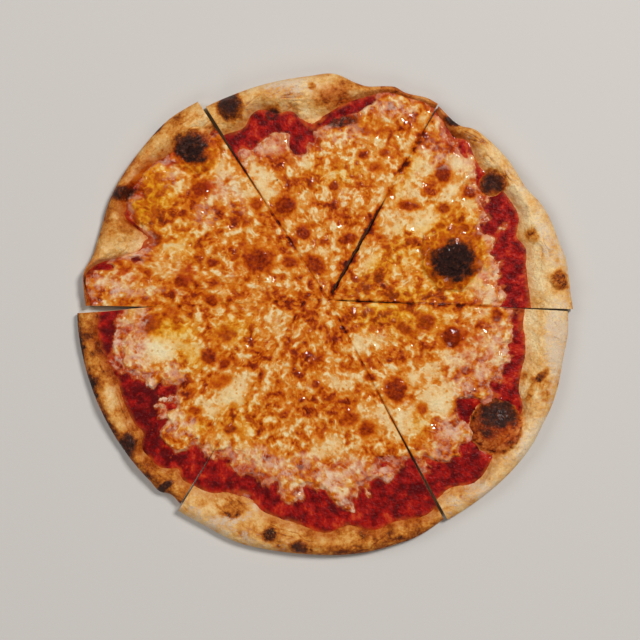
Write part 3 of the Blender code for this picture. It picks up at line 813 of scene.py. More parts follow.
@dataclass(frozen=True)
class Bake:
    """What the oven did: the heights and colours' masks of every layer at given places."""

    noise: Noise = Noise(SEED)
    ragged: float = 9.0
    feather: float = 12.0

    def marks(
        self,
        at: Places,
        kind: Kind,
        soft: float = 0.35,
        scale: float = 1.0,
        ragged: float = 0.24,
        waves: float = 9.0,
    ) -> Array:
        """The strongest of the marks of one kind.

        Args:
            at: The places.
            kind: Which marks count.
            soft: The width of a mark's edge, as a share of its size.
            scale: How large every mark is beside its own size.
            ragged: How far a mark's edge wavers.
            waves: The width of the waves along the edge in millimetres.

        Returns:
            From 0 outside the marks to a mark's amount inside it.
        """
        waver = ragged * self.noise.layered(at.x, at.y, waves, 3, salt=90)
        strongest = np.zeros_like(at.x)
        for mark in MARKS:
            if mark.kind is not kind:
                continue
            distance = np.hypot(*mark.across_and_along(at.x, at.y, scale)) * (1 + waver)
            strongest = np.maximum(strongest, mark.amount * (1 - smoothstep(1 - soft, 1 + soft, distance)))
        return strongest

    def domes(self, at: Places) -> Array:
        """How far the bubbles raise every layer.

        Args:
            at: The places.

        Returns:
            The rise in millimetres.
        """
        height = np.zeros_like(at.x)
        waver = 1 + 0.25 * self.noise.layered(at.x, at.y, 14.0, 2, salt=91)
        for mark in MARKS:
            if mark.kind is not Kind.BUBBLE:
                continue
            across, along = mark.across_and_along(at.x, at.y)
            inside = np.clip(1 - (across**2 + along**2) * waver, 0.0, 1.0)
            height = np.maximum(height, mark.amount * inside**0.85 * smoothstep(0.0, 0.25, inside))
        return height

    def even(self, values: tuple[float, ...], at: Places) -> Array:
        """Values spread evenly over the slice's width, read at each place."""
        return np.interp(at.share, np.linspace(0, 1, len(values)), values)

    def creases(self, at: Places) -> Array:
        """How far the cheese sinks beside the cuts.

        Args:
            at: The places.

        Returns:
            The depth in millimetres.
        """
        depth = np.zeros_like(at.x)
        for cut in CUTS:
            near = 1 - smoothstep(0.0, 1.6, cut.distance(at.x, at.y))
            depth = np.maximum(depth, cut.crease * near)
        return depth

    def cover(self, piece: Slice, at: Places) -> Array:
        """How thick the cheese lies.

        Args:
            piece: The slice.
            at: The places.

        Returns:
            From 0 for none to 1 for all of it.
        """
        edge = piece.cheese.at(at.angle)
        ragged = self.ragged * self.noise.layered(at.x, at.y, 13.0, 4, salt=3)
        inside = (edge - at.radius + ragged) / self.feather + 0.35
        inside = inside + 1.6 * self.marks(at, Kind.CHEESE)
        inside = inside + 0.8 * self.marks(at, Kind.FILM, soft=0.6)
        inside = inside - 1.8 * self.marks(at, Kind.BARE)
        return np.clip(inside, 0.0, 1.0)

    def _net(self, at: Places) -> Array:
        """The net of wrinkles on a bubble in the cheese, 1 along a wrinkle."""
        return 1 - smoothstep(0.0, 0.3, np.abs(self.noise.layered(at.x, at.y, 7.0, 2, salt=63)))

    def burn(self, at: Places) -> Array:
        """How burnt a place is, with a ragged edge.

        Args:
            at: The places.

        Returns:
            From 0 through brown to 1 for black.
        """
        burnt = self.marks(at, Kind.CHAR, soft=0.6)
        ragged = 0.25 * self.noise.layered(at.x, at.y, 5.0, 3, salt=30)
        return np.clip(burnt + ragged * smoothstep(0.05, 0.5, burnt), 0.0, 1.1)

    def toast(self, at: Places) -> Array:
        """How brown the cheese is, evenly spread over its range, with painted shade along the cuts.

        Args:
            at: The places.

        Returns:
            From 0 for cream to 1 for nearly black.
        """
        noise = self.noise
        x = at.x + 1.3 * noise.single(at.x, at.y, 9.0, 40)
        y = at.y + 1.3 * noise.single(at.x, at.y, 9.0, 41)
        zone, patch = noise.single(x, y, 30.0, 42), noise.single(x, y, 13.0, 43)
        blotch, dapple = noise.single(x, y, 6.5, 44), noise.single(x, y, 3.4, 45)
        finest = noise.single(x, y, 1.8, 46)
        cream = self.marks(at, Kind.CREAM, soft=0.7)
        calm = smoothstep(-0.1, 0.6, noise.single(at.x, at.y, 20.0, 48) + 0.8 * cream)
        busy = 1 - 0.5 * calm
        spread = (0.6 * zone + 0.85 * patch + busy * (0.95 * blotch + 0.45 * dapple + 0.2 * finest)) / 0.5
        spread = spread + 2.2 * self.marks(at, Kind.TOASTED, soft=0.6)
        spread = spread + 0.4 * self.marks(at, Kind.GOLD, soft=0.5)
        spread = spread - 1.9 * cream - 0.15 * calm - 0.5 * self.marks(at, Kind.FILM, soft=0.6)
        spread = spread - 0.9 * self.marks(at, Kind.BROWN, soft=0.5, scale=1.7)
        even = 0.635 + 0.44 * np.tanh(0.6 * spread) - 0.22 * cream
        even = even - 0.38 * self.shreds(at) * smoothstep(0.12, 0.45, even)
        flecks = smoothstep(0.3, 1.0, noise.single(x, y, 2.6, 47) + 0.45 * blotch + 0.15 * patch) * busy
        specks = smoothstep(0.0, 0.8, noise.spots(x, y, 4.5, 0.5, 1.5, 0.4, 34))
        round_ones = smoothstep(0.0, 0.7, noise.spots(x, y, 9.0, 1.3, 3.6, 0.5, 36)) * (1 - 0.6 * cream)
        even = mix(even, np.maximum(even, 0.74 + 0.15 * dapple), 0.6 * round_ones)
        even = np.minimum(even + 0.16 * flecks + 0.25 * specks, np.maximum(even, 0.88))
        # Darker along the cuts: partly the browned seam, partly painted shade of the cut line.
        even = even + 0.4 * self.seams_and_shade(at) * (0.6 + noise.single(at.x, at.y, 6.0, 49))
        raised = smoothstep(0.4, 2.5, self.domes(at))
        net = self._net(at)
        even = mix(even, 0.8 - 0.34 * net + 0.2 * dapple + 0.12 * blotch, 0.9 * raised)
        halo = np.minimum(1.3 * self.marks(at, Kind.BROWN, 0.45, scale=1.2, ragged=0.3, waves=5.0), 1)
        even = mix(even, 0.7 + 0.24 * dapple, 0.85 * halo)
        core = self.marks(at, Kind.BROWN, soft=0.35, scale=0.88, ragged=0.25, waves=5.0)
        even = mix(even, 0.86 + 0.1 * core + 0.1 * dapple, np.minimum(1.3 * core, 1))
        burnt = self.burn(at)
        return np.clip(mix(even, 0.74 + 0.4 * burnt, smoothstep(0.0, 0.4, burnt)), 0, 1.15)

    def shreds(self, at: Places) -> Array:
        """Short pale strokes where shreds of cheese melted.

        Args:
            at: The places.

        Returns:
            From 0 between them to 1 along their middles.
        """
        x = at.x + 1.2 * self.noise.single(at.x, at.y, 5.0, 55)
        y = at.y + 1.2 * self.noise.single(at.x, at.y, 5.0, 56)
        near = np.minimum(np.abs(self.noise.single(x, y, 8.0, 57)), np.abs(self.noise.single(x, y, 5.5, 58)))
        broken = smoothstep(-0.1, 0.3, self.noise.single(at.x, at.y, 4.5, 59))
        finer = np.abs(self.noise.single(x, y, 3.2, 64))
        sparse = smoothstep(0.0, 0.4, self.noise.single(at.x, at.y, 3.6, 65))
        blobs = smoothstep(0.15, 0.6, self.noise.single(x, y, 5.6, 66))
        coarse = np.maximum((1 - smoothstep(0.05, 0.32, near)) * broken, blobs)
        return np.maximum(coarse, 0.8 * (1 - smoothstep(0.0, 0.2, finer)) * sparse)

    def seams_and_shade(self, at: Places) -> Array:
        """How near a place is to a pressed cut, where the colour is darkened: partly the browned seam,
        partly painted shade of the cut.

        Args:
            at: The places.

        Returns:
            From 0 to 1 at the cut.
        """
        near = np.zeros_like(at.x)
        for cut in CUTS:
            reach = 1 - smoothstep(0.2, 1.6 + cut.inner_gap, cut.distance(at.x, at.y))
            near = np.maximum(near, min(cut.crease, 1.0) * reach)
        return near

    def film(self, piece: Slice, at: Places) -> Array:
        """Where the cheese has run out to a milky film over the sauce.

        Args:
            piece: The slice.
            at: The places.

        Returns:
            From 0 for none to 0.8 for the whitest film.
        """
        cover = self.cover(piece, at)
        edge = smoothstep(0.0, 0.2, cover) * (1 - smoothstep(0.35, 1.0, cover))
        streaky = 0.36 + 1.0 * self.noise.layered(at.x, at.y, 7.0, 4, 0.7, salt=33) + 0.45 * self.strands(at)
        marked = self.marks(at, Kind.FILM, soft=0.8)
        return np.clip((0.32 * edge + 0.9 * marked) * np.clip(streaky, 0.0, 1.0), 0, 0.8)

    def strands(self, at: Places) -> Array:
        """Thin pale threads of cheese.

        Args:
            at: The places.

        Returns:
            From 0 between them to 1 along their middles.
        """
        x = at.x + 2.0 * self.noise.single(at.x, at.y, 7.0, 50)
        y = at.y + 2.0 * self.noise.single(at.x, at.y, 7.0, 51)
        near = np.minimum(np.abs(self.noise.single(x, y, 9.0, 52)), np.abs(self.noise.single(x, y, 6.0, 53)))
        return 1 - smoothstep(0.0, 0.13, near)

    def thin(self, piece: Slice, at: Places) -> Array:
        """Where the cheese is so thin that the sauce reddens it.

        Args:
            piece: The slice.
            at: The places.

        Returns:
            From 0 to 0.95 for the thinnest.
        """
        mottle = self.noise.layered(at.x, at.y, 6.0, 3, salt=6)
        patches = smoothstep(0.25, 0.9, self.noise.layered(at.x, at.y, 14.0, 3, salt=5))
        ruddy = self.marks(at, Kind.RUDDY, soft=0.7)
        edge = 1 - smoothstep(0.3, 1.0, self.cover(piece, at))
        total = 0.4 * patches + 0.85 * ruddy + 0.85 * edge
        total = total * (1 + 0.9 * mottle) - 0.4 * self.strands(at)
        return np.clip(total, 0.0, 0.95)

    def _sauce_level(self, piece: Slice, at: Places) -> Array:
        """The sauce's surface without its grain: it sinks under the rim and round bare dough.

        Args:
            piece: The slice.
            at: The places.

        Returns:
            The height in millimetres.
        """
        foot = piece.foot.at(at.angle)
        sinking = 1.8 * smoothstep(foot - 2.5, foot + 3.5, at.radius)
        return SAUCE_TOP - sinking + self.domes(at) - 3.2 * self.marks(at, Kind.DOUGH, soft=0.2, ragged=0.08)

    def sauce_height(self, piece: Slice, at: Places) -> Array:
        """The sauce's surface with its pulp and its grain.

        Args:
            piece: The slice.
            at: The places.

        Returns:
            The height in millimetres.
        """
        pulp = 0.34 * self.noise.layered(at.x, at.y, 7.5, 3, salt=7)
        grain = 0.1 * self.noise.layered(at.x, at.y, 2.2, 2, salt=8)
        return self._sauce_level(piece, at) + pulp + grain

    def cheese_height(self, piece: Slice, at: Places) -> Array:
        """The cheese's surface, which dips below the sauce's where there is no cheese.

        Args:
            piece: The slice.
            at: The places.

        Returns:
            The height in millimetres.
        """
        cover = self.cover(piece, at)
        toast = self.toast(at)
        large = 0.7 * self.noise.layered(at.x, at.y, 12.0, 2, salt=9)
        raised = smoothstep(0.4, 2.5, self.domes(at))
        large = large + raised * 0.4 * (self._net(at) - 0.5)
        lumps = 0.24 * self.noise.layered(at.x, at.y, 4.2, 3, salt=10)
        blistered = 0.4 * smoothstep(0.75, 1.0, toast)
        sunken = 0.3 * smoothstep(0.3, 0.7, toast)
        body = CHEESE_TOP - SAUCE_TOP + large + lumps + blistered - sunken
        body = body * smoothstep(0.0, 1.0, cover) ** 1.4
        base = self._sauce_level(piece, at) - 0.75 + 1.05 * smoothstep(0.0, 0.3, cover)
        return base + body - self.creases(at) * smoothstep(0.0, 0.5, cover)

    def cheese_masks(self, piece: Slice, at: Places) -> dict[str, Array]:
        """What the cheese's finish reads.

        Args:
            piece: The slice.
            at: The places.

        Returns:
            Each mask's values by its name.
        """
        return {
            "toast": self.toast(at),
            "thin": self.thin(piece, at),
            "gold": self.marks(at, Kind.GOLD, soft=0.7),
            "film": self.film(piece, at),
            "burn": self.burn(at),
        }

    def sauce_masks(self, piece: Slice, at: Places) -> dict[str, Array]:
        """What the sauce's finish reads.

        Args:
            piece: The slice.
            at: The places.

        Returns:
            Each mask's values by its name.
        """
        tone = 0.45 + 0.75 * self.noise.layered(at.x, at.y, 9.0, 4, 0.75, salt=27)
        tone = tone - 0.42 * self.marks(at, Kind.DEEP, soft=0.8)
        foot = piece.foot.at(at.angle)
        uneven = 0.5 + 0.8 * self.noise.layered(at.x, at.y, 6.0, 3, salt=28)
        fringe = smoothstep(foot - 4.0, foot - 0.3, at.radius) * uneven
        milky = 0.7 * smoothstep(0.0, 0.12, self.cover(piece, at))
        return {"tone": tone, "oil": np.clip(np.maximum(fringe, milky), 0, 0.9), "burn": self.burn(at)}

    def rim_height(self, piece: Slice, at: Places, outer: Array, foot: Array) -> Array:
        """The top of the rim: a hump that falls steeply and round to the outer edge.

        Args:
            piece: The slice.
            at: The places.
            outer: The outer edge's radius in each place's column.
            foot: Where the rim starts to rise in that column.

        Returns:
            The dough's height in millimetres.
        """
        width = np.minimum(outer - foot, 31.0)
        from_edge = np.clip((outer - at.radius) / width, 0.0, 1.0)
        crest = self.even(piece.crest, at)
        rise = np.sqrt(np.clip(1 - (1 - from_edge / CREST_SHARE) ** 2, 0, 1))
        near = EDGE_HEIGHT + (crest - EDGE_HEIGHT) * rise
        inwards = np.clip((from_edge - CREST_SHARE) / (1 - CREST_SHARE), 0, 1)
        far = crest + (BED_TOP - crest) * mix(inwards**1.8, smoothstep(0.0, 1.0, inwards), 0.25)
        height = np.where(from_edge < CREST_SHARE, near, far)
        on_hump = smoothstep(0.0, 0.3, from_edge) * (1 - smoothstep(0.8, 1.0, from_edge))
        lumps = 0.9 * self.noise.layered(at.x, at.y, 17.0, 2, salt=12)
        folds = 0.6 * self.noise.layered(at.x, at.y, 6.5, 3, salt=13)
        blisters = 0.7 * smoothstep(0.0, 0.8, self.noise.spots(at.x, at.y, 9.0, 1.5, 4.0, 0.3, 14))
        pits = 0.5 * smoothstep(0.2, 0.8, self.noise.spots(at.x, at.y, 4.5, 0.5, 1.0, 0.25, 18))
        rough = (lumps + folds + blisters - pits - 0.7 * self._wrinkles(at)) * on_hump
        crackle = 0.5 * self.noise.layered(at.x, at.y, 2.4, 3, salt=15) * self.burn(at)
        return height + rough + crackle

    def _wrinkles(self, at: Places) -> Array:
        """Fine folds that run along the rim.

        Args:
            at: The places.

        Returns:
            From 0 between them to 1 at the bottom of a fold.
        """
        along = np.radians(at.angle) * RIM_RADIUS
        fold = np.abs(self.noise.layered(0.35 * along, at.radius, 7.0, 2, salt=60))
        somewhere = smoothstep(-0.1, 0.4, self.noise.single(at.x, at.y, 24.0, 61))
        return (1 - smoothstep(0.0, 0.16, fold)) * somewhere

    def _crust_brown_and_shade(self, piece: Slice, at: Places, outer: Array) -> Array:
        """How far the rim is browned, with painted shade added in its folds, in the gaps at the cuts and
        along its left outer edge.

        Args:
            piece: The slice.
            at: The places.
            outer: The outer edge's radius in each place's column.

        Returns:
            From 0 for pale dough to 1 for nearly black.
        """
        base = self.even(piece.brown, at)
        patches = (0.12 + 0.34 * base) * self.noise.layered(at.x, at.y, 15.0, 3, salt=20)
        mottle = 0.11 * self.noise.layered(at.x, at.y, 3.8, 3, salt=21)
        freckles = self.noise.spots(at.x, at.y, 9.0, 1.0, 3.2, 0.35, 32)
        patches = patches + (0.1 + 0.3 * base) * smoothstep(0.0, 0.9, freckles)
        edge = 0.5 * base**2 * smoothstep(outer - 7, outer, at.radius)
        lip = self.marks(at, Kind.DOUGH, soft=0.1, scale=0.97, ragged=0.08)
        lip = lip - self.marks(at, Kind.DOUGH, soft=0.12, scale=0.84, ragged=0.08)
        # The wrinkles' fold bottoms are browned: painted shade in the folds, on top of their real dip.
        brown = base + patches + mottle + edge + 0.18 * self._wrinkles(at) + 0.35 * np.clip(lip, 0, 1)
        brown = brown + 0.34 * self.marks(at, Kind.CRUST_BROWN, soft=0.45, waves=6.0)
        brown = brown - 0.3 * self.marks(at, Kind.CRUST_PALE, soft=0.5)
        ridges = 1 - smoothstep(0.0, 0.2, np.abs(self.noise.layered(at.x, at.y, 5.0, 2, salt=62)))
        domed = smoothstep(0.5, 1.5, self.domes(at))
        brown = brown + domed * (0.3 * ridges - 0.1)
        # Inside the foot the bed beside the cuts is painted dark brown: painted shade down in the gap,
        # partly smeared sauce.
        inside = 1 - smoothstep(-6.0, 0.0, at.radius - piece.foot.at(at.angle))
        brown = mix(brown, 0.86, inside * smoothstep(0.0, 0.4, self.seams_and_shade(at)))
        burnt = self.burn(at)
        return np.clip(mix(brown, 0.52 + 0.5 * burnt, smoothstep(0.0, 0.3, burnt)), 0, 1)

    def _crust_flour(self, piece: Slice, at: Places, outer: Array) -> Array:
        """How floury the rim is.

        Args:
            piece: The slice.
            at: The places.
            outer: The outer edge's radius in each place's column.

        Returns:
            From 0 for none to 1 for white with it.
        """
        patches = 0.5 + 0.6 * self.noise.layered(at.x, at.y, 8.0, 4, salt=23)
        base = self.even(piece.flour, at) * smoothstep(outer - 20, outer - 6, at.radius) * patches * 1.5
        dust = self.marks(at, Kind.FLOUR, soft=0.6) * (0.55 + 0.6 * patches)
        bare = np.maximum(2.5 * self.burn(at), 1.2 * self.marks(at, Kind.CRUST_BROWN, soft=0.45, waves=6.0))
        return np.clip(np.maximum(base, dust), 0, 1) * (1 - smoothstep(0.0, 1.0, bare))

    def _crust_grease(self, piece: Slice, at: Places) -> Array:
        """Where orange oil from the toppings has crept up the rim.

        Args:
            piece: The slice.
            at: The places.

        Returns:
            From 0 for none to 1 for the most.
        """
        foot = piece.foot.at(at.angle)
        reach = 3.0 + 5.0 * (0.5 + self.noise.layered(at.x, at.y, 9.0, 3, salt=25))
        crept = 1 - smoothstep(foot + 0.4, foot + 0.4 + np.maximum(reach, 0.8), at.radius)
        domes = smoothstep(0.4, 2.5, self.domes(at)) * 0.25
        oily = 0.1 + 0.9 * self.even(piece.brown, at)
        return np.clip(oily * crept + domes + 0.8 * self.marks(at, Kind.GOLD, soft=0.6), 0, 1)

    def crust_masks(self, piece: Slice, at: Places, outer: Array) -> dict[str, Array]:
        """What the crust's finish reads.

        Args:
            piece: The slice.
            at: The places.
            outer: The outer edge's radius in each place's column.

        Returns:
            Each mask's values by its name.
        """
        return {
            "burn": self.burn(at),
            # The brown mask also holds painted shade in the rim's folds, in the gaps at the cuts and along
            # its left outer edge.
            "brown": self._crust_brown_and_shade(piece, at, outer),
            "flour": self._crust_flour(piece, at, outer),
            "grease": self._crust_grease(piece, at),
        }


# Meshes


def grid(columns: int, rows: int) -> tuple[bmesh.types.BMesh, Array, Array]:
    """A flat grid to be shaped.

    Args:
        columns: How many faces it has across the slice.
        rows: How many it has outwards.

    Returns:
        The mesh, and for each vertex its share of the way across and its row.
    """
    bm = bmesh.new()
    bmesh.ops.create_grid(bm, x_segments=columns, y_segments=rows, size=0.5)
    flat = np.array([vert.co.xy for vert in bm.verts])
    return bm, flat[:, 0] + 0.5, np.rint((flat[:, 1] + 0.5) * rows).astype(int)


@dataclass
class Wedge:
    """The ground plan of one layer of one slice."""

    piece: Slice
    closed_gap: float
    opened: float = 1.0

    def corners(self) -> list[float]:
        """How far from the crossing the outline turns.

        Returns:
            The tip's distance, and that of the corner beside it if there is one.
        """
        bound, first, second = (CUTS[i] for i in (self.piece.tip_cut, self.piece.first, self.piece.second))
        tip = self._meeting(bound, 1, second, -1)
        if bound is first:
            return [tip]
        return [tip, self._meeting(bound, 1, first, 1)]

    def _meeting(self, cut: Cut, side: int, other: Cut, other_side: int) -> float:
        """How far from the crossing one wall meets another.

        Args:
            cut: One cut.
            side: Which of its walls, 1 or -1.
            other: The other cut.
            other_side: Which of that one's walls.

        Returns:
            The distance in millimetres.
        """
        turn = math.radians(other.angle - cut.angle)
        near = cut.offset + side * self.closed_gap / 2
        far = other.offset + other_side * self.closed_gap / 2
        square = near**2 + far**2 - 2 * near * far * math.cos(turn)
        return math.sqrt(square) / abs(math.sin(turn))

    def places(self, share: Array, radius: Array) -> Places:
        """Places at a share of the way across the slice.

        Args:
            share: From 0 at the first cut to 1 at the second.
            radius: Distances from the crossing.

        Returns:
            The places, whose directions rise steadily across the slice.
        """
        piece, gaps = self.piece, (self.closed_gap, self.opened)
        first = CUTS[piece.first].wall(radius, 1, *gaps)
        if piece.tip_cut != piece.first:
            first = np.maximum(first, CUTS[piece.tip_cut].wall(radius, 1, *gaps))
        second = CUTS[piece.second].wall(radius, -1, *gaps)
        if piece.second < piece.first:
            second = second + 360.0
        angle = mix(first, second, share)
        turn = np.radians(angle)
        return Places(radius * np.cos(turn), radius * np.sin(turn), angle, radius, share)

    def rim_angle(self, share: Array) -> Array:
        """The direction in which each column reaches the rim."""
        return self.places(share, np.full_like(share, RIM_RADIUS)).angle


@dataclass
class Layer:
    """One layer of one slice: its ground plan, its fineness, and what it stands for."""

    piece: Slice
    bake: Bake
    closed_gap: float = 0.3
    opened: float = 1.0
    columns: int = 260
    label: str = "layer"
    node: str = "node"
    slot: str = "slot"

    @property
    def wedge(self) -> Wedge:
        """The layer's ground plan."""
        return Wedge(self.piece, self.closed_gap, self.opened)

    def set_shape(self, bm: bmesh.types.BMesh, at: Places, height: Array, masks: dict[str, Array]) -> None:
        """Moves a grid's vertices into place and writes the masks that its finish reads.

        Args:
            bm: The grid.
            at: Each vertex's place.
            height: Each vertex's height in millimetres.
            masks: The value of every mask at each vertex, by the mask's name.
        """
        spots = np.stack([at.x + CROSSING[0], at.y + CROSSING[1], height], axis=1) * MM
        for vert, spot in zip(bm.verts, spots.tolist()):
            vert.co = spot
        for name, values in masks.items():
            layer = bm.verts.layers.float.new(name)
            for vert, value in zip(bm.verts, values.tolist()):
                vert[layer] = value

    def to_object(self, bm: bmesh.types.BMesh, finishes: list[bpy.types.Material]) -> bpy.types.Object:
        """Makes the closed mesh an object that rides on the part and stands for its node.

        Args:
            bm: The closed mesh, which is freed.
            finishes: The materials, in the order of the faces' material indices.

        Returns:
            The new object.
        """
        bmesh.ops.recalc_face_normals(bm, faces=bm.faces)
        many_sided = [face for face in bm.faces if len(face.verts) > 4]
        bmesh.ops.triangulate(bm, faces=many_sided, ngon_method="EAR_CLIP")
        name = f"{self.label}_{self.piece.number}"
        mesh = bpy.data.meshes.new(name)
        bm.to_mesh(mesh)
        bm.free()
        mesh.shade_smooth()
        mesh.set_sharp_from_angle(angle=SHARP_ANGLE)
        for finish in finishes:
            mesh.materials.append(finish)
        made = bpy.data.objects.new(name, mesh)
        bpy.context.scene.collection.objects.link(made)
        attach(made, "root")
        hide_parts(f"slice_{self.piece.number}_{self.node}")
        log.info("%s: %d faces", name, len(mesh.polygons))
        return made


@dataclass
class Topping(Layer):
    """A layer that lies on the bed: a grid on top, with straight walls down to a level underside."""

    rows: int = 200
    tip_row: float = 0.8
    weld: float = 0.05
    bottom: float = 4.0
    past_foot: float = 2.0
    from_edge: float = 1.5

    def reach(self, share: Array) -> Array:
        """How far out each column goes: a little under the rim, and never past its edge.

        Args:
            share: Each vertex's share of the way across.

        Returns:
            The radius at which each vertex's column ends.
        """
        rim = self.wedge.rim_angle(share)
        widest = self.piece.outer.at(rim) - self.from_edge
        return np.minimum(self.piece.foot.at(rim) + self.past_foot, widest)

    def plan(self, outer: Array, share: Array, row: Array) -> Places:
        """Where the grid's vertices go.

        Args:
            outer: How far out each vertex's column reaches.
            share: Each vertex's share of the way across.
            row: Each vertex's row.

        Returns:
            The places.
        """
        corners = self.wedge.corners()
        tip, corner = corners[0], corners[-1]
        inner_rows = math.ceil((corner - tip) / self.tip_row)
        inner = mix(tip, corner, row / max(inner_rows, 1))
        onward = np.clip((row - inner_rows) / (self.rows - inner_rows), 0.0, 1.0)
        return self.wedge.places(share, np.where(row < inner_rows, inner, mix(corner, outer, onward)))

    def close(self, bm: bmesh.types.BMesh) -> None:
        """Joins the tip's vertices, and closes the grid with walls and an underside.

        Args:
            bm: The shaped grid.
        """
        bmesh.ops.remove_doubles(bm, verts=bm.verts, dist=self.weld * MM)
        edges = [edge for edge in bm.edges if edge.is_boundary]
        grown = bmesh.ops.extrude_edge_only(bm, edges=edges)
        lower = [item for item in grown["geom"] if isinstance(item, bmesh.types.BMVert)]
        for vert in lower:
            vert.co.z = self.bottom * MM
        open_edges = [edge for edge in bm.edges if edge.is_boundary]
        bmesh.ops.contextual_create(bm, geom=open_edges)


@dataclass
class Sauce(Topping):
    """The tomato sauce of one slice."""

    closed_gap: float = 0.5
    columns: int = 200
    rows: int = 120
    bottom: float = 3.9
    label: str = "tomato_sauce"
    node: str = "sauce"
    slot: str = "tomato_sauce"
    past_foot: float = 3.5
    from_edge: float = 1.3

    def build(self, finishes: "Finishes") -> bpy.types.Object:
        """Makes the sauce and dresses it.

        Args:
            finishes: Every finish.

        Returns:
            The new object.
        """
        bm, share, row = grid(self.columns, self.rows)
        at = self.plan(self.reach(share), share, row)
        height = np.maximum(self.bake.sauce_height(self.piece, at), self.bottom + 0.1)
        self.set_shape(bm, at, height, self.bake.sauce_masks(self.piece, at))
        self.close(bm)
        return self.to_object(bm, [finishes.sauce])


@dataclass
class Cheese(Topping):
    """The melted cheese of one slice."""

    closed_gap: float = 0.06
    columns: int = 250
    rows: int = 220
    bottom: float = 4.15
    label: str = "melted_cheese"
    node: str = "cheese"
    slot: str = "melted_cheese"
    past_foot: float = 1.5
    from_edge: float = 1.6

    def build(self, finishes: "Finishes") -> bpy.types.Object:
        """Makes the cheese and dresses it.

        Args:
            finishes: Every finish.

        Returns:
            The new object.
        """
        bm, share, row = grid(self.columns, self.rows)
        at = self.plan(self.reach(share), share, row)
        height = np.maximum(self.bake.cheese_height(self.piece, at), self.bottom + 0.1)
        self.set_shape(bm, at, height, self.bake.cheese_masks(self.piece, at))
        self.close(bm)
        return self.to_object(bm, [finishes.cheese])


@dataclass
class Dough(Layer):
    """The dough of one slice: one sheet wrapped from the tip over the rim and back along the underside."""

    closed_gap: float = 0.3
    opened: float = 0.1
    columns: int = 280
    label: str = "baked_dough"
    node: str = "dough"
    slot: str = "crust"
    bed_rows: int = 8
    apron_rows: int = 40
    far_rows: int = 38
    near_rows: int = 26
    under_rows: int = 10
    back_rows: int = 6
    undercut: float = 5.0
    before_foot: float = 2.0
    apron: float = 36.0
    widest_hump: float = 31.0

    def build(self, finishes: "Finishes") -> bpy.types.Object:
        """Makes the dough and dresses it, with bare crumb on the cut faces.

        Args:
            finishes: Every finish.

        Returns:
            The new object.
        """
        corners = self.wedge.corners()
        last = len(corners) - 1
        apron_start = last + self.bed_rows
        bed_end = apron_start + self.apron_rows
        crest = bed_end + self.far_rows
        edge = crest + self.near_rows
        under = edge + self.under_rows
        rows = under + self.back_rows + last
        bm, share, row = grid(self.columns, rows)

        rim = self.wedge.rim_angle(share)
        outer, foot = self.piece.outer.at(rim), self.piece.foot.at(rim) - self.before_foot
        hump = np.minimum(outer - foot, self.widest_hump)
        from_tip = np.array(corners)[np.clip(np.minimum(row, rows - row), 0, last)]
        inmost = outer - hump - self.apron
        bed = mix(corners[last], inmost, np.clip((row - last) / self.bed_rows, 0, 1))
        apron = outer - hump - self.apron * (1 - (row - apron_start) / self.apron_rows)
        far = mix(1.0, CREST_SHARE, (row - bed_end) / self.far_rows)
        near = CREST_SHARE * (1 - np.sin(np.clip((row - crest) / self.near_rows, 0, 1) * math.pi / 2))
        below = self.undercut * (1 - np.cos(np.clip((row - edge) / self.under_rows, 0, 1) * math.pi / 2))
        back = mix(outer - self.undercut, corners[last], np.clip((row - under) / self.back_rows, 0, 1))
        ends = (last, apron_start, bed_end, crest, edge, under, rows - last + 1)
        bands = [from_tip, bed, apron, outer - hump * far, outer - hump * near, outer - below, back]
        radius = np.select([row < end for end in ends], bands, from_tip)
        at = self.wedge.places(share, radius)
        top = self.bake.rim_height(self.piece, at, outer, foot)
        raised = self.bake.domes(at) * smoothstep(inmost, inmost + 3, radius)
        top = top + raised * smoothstep(0, 4, outer - radius)
        inward = np.clip((outer - radius) / self.undercut, 0, 1)
        underside = EDGE_HEIGHT * (1 - np.sqrt(1 - (1 - inward) ** 2))
        height = np.where(row < edge, top, np.where(row < under, underside, 0.0))
        masks = self.bake.crust_masks(self.piece, at, outer)
        masks["under"] = smoothstep(edge - 1, edge + 5, row)
        self.set_shape(bm, at, height, masks)

        self._close_cuts(bm, share, row, rows, last)
        bmesh.ops.remove_doubles(bm, verts=bm.verts, dist=0.0005 * MM)
        return self.to_object(bm, [finishes.crust, finishes.crumb])

    def _close_cuts(self, bm: bmesh.types.BMesh, share: Array, row: Array, rows: int, last: int) -> None:
        """Fills the two cut faces, each between the sheet's top and the same sheet's underside.

        Args:
            bm: The sheet, whose two cut sides are open.
            share: Each vertex's share of the way across.
            row: Each vertex's row.
            rows: The sheet's number of rows.
            last: The last of the rows at which the outline turns near the tip.
        """
        verts = list(bm.verts)
        for side in (0.0, 1.0):
            on_side = np.flatnonzero(np.abs(share - side) < 0.001)
            column = [verts[i] for i in on_side[np.argsort(row[on_side])]]
            rungs = [bm.edges.new((column[k], column[rows - k])) for k in range(last + 1)]
            along = [bm.edges.get((low, high)) for low, high in zip(column, column[1:])]
            loops = [[rungs[k], along[k], rungs[k + 1], along[rows - 1 - k]] for k in range(last)]
            loops.append([rungs[last], *along[last : rows - last]])
            for loop in loops:
                made = bmesh.ops.contextual_create(bm, geom=loop)
                for face in made["faces"]:
                    face.material_index = 1


# Materials

Colour = tuple[int, int, int]
Stops = tuple[tuple[float, Colour], ...]
Socket = bpy.types.NodeSocket
Value = float | tuple[float, ...] | Socket


def linear(colour: Colour) -> tuple[float, float, float, float]:
    """A display colour as the renderer's own linear one.

    Args:
        colour: Red, green and blue from 0 to 255.

    Returns:
        The colour with full opacity.
    """
    parts = [part / 255 for part in colour]
    made = [part / 12.92 if part <= 0.04045 else ((part + 0.055) / 1.055) ** 2.4 for part in parts]
    return (*made, 1.0)


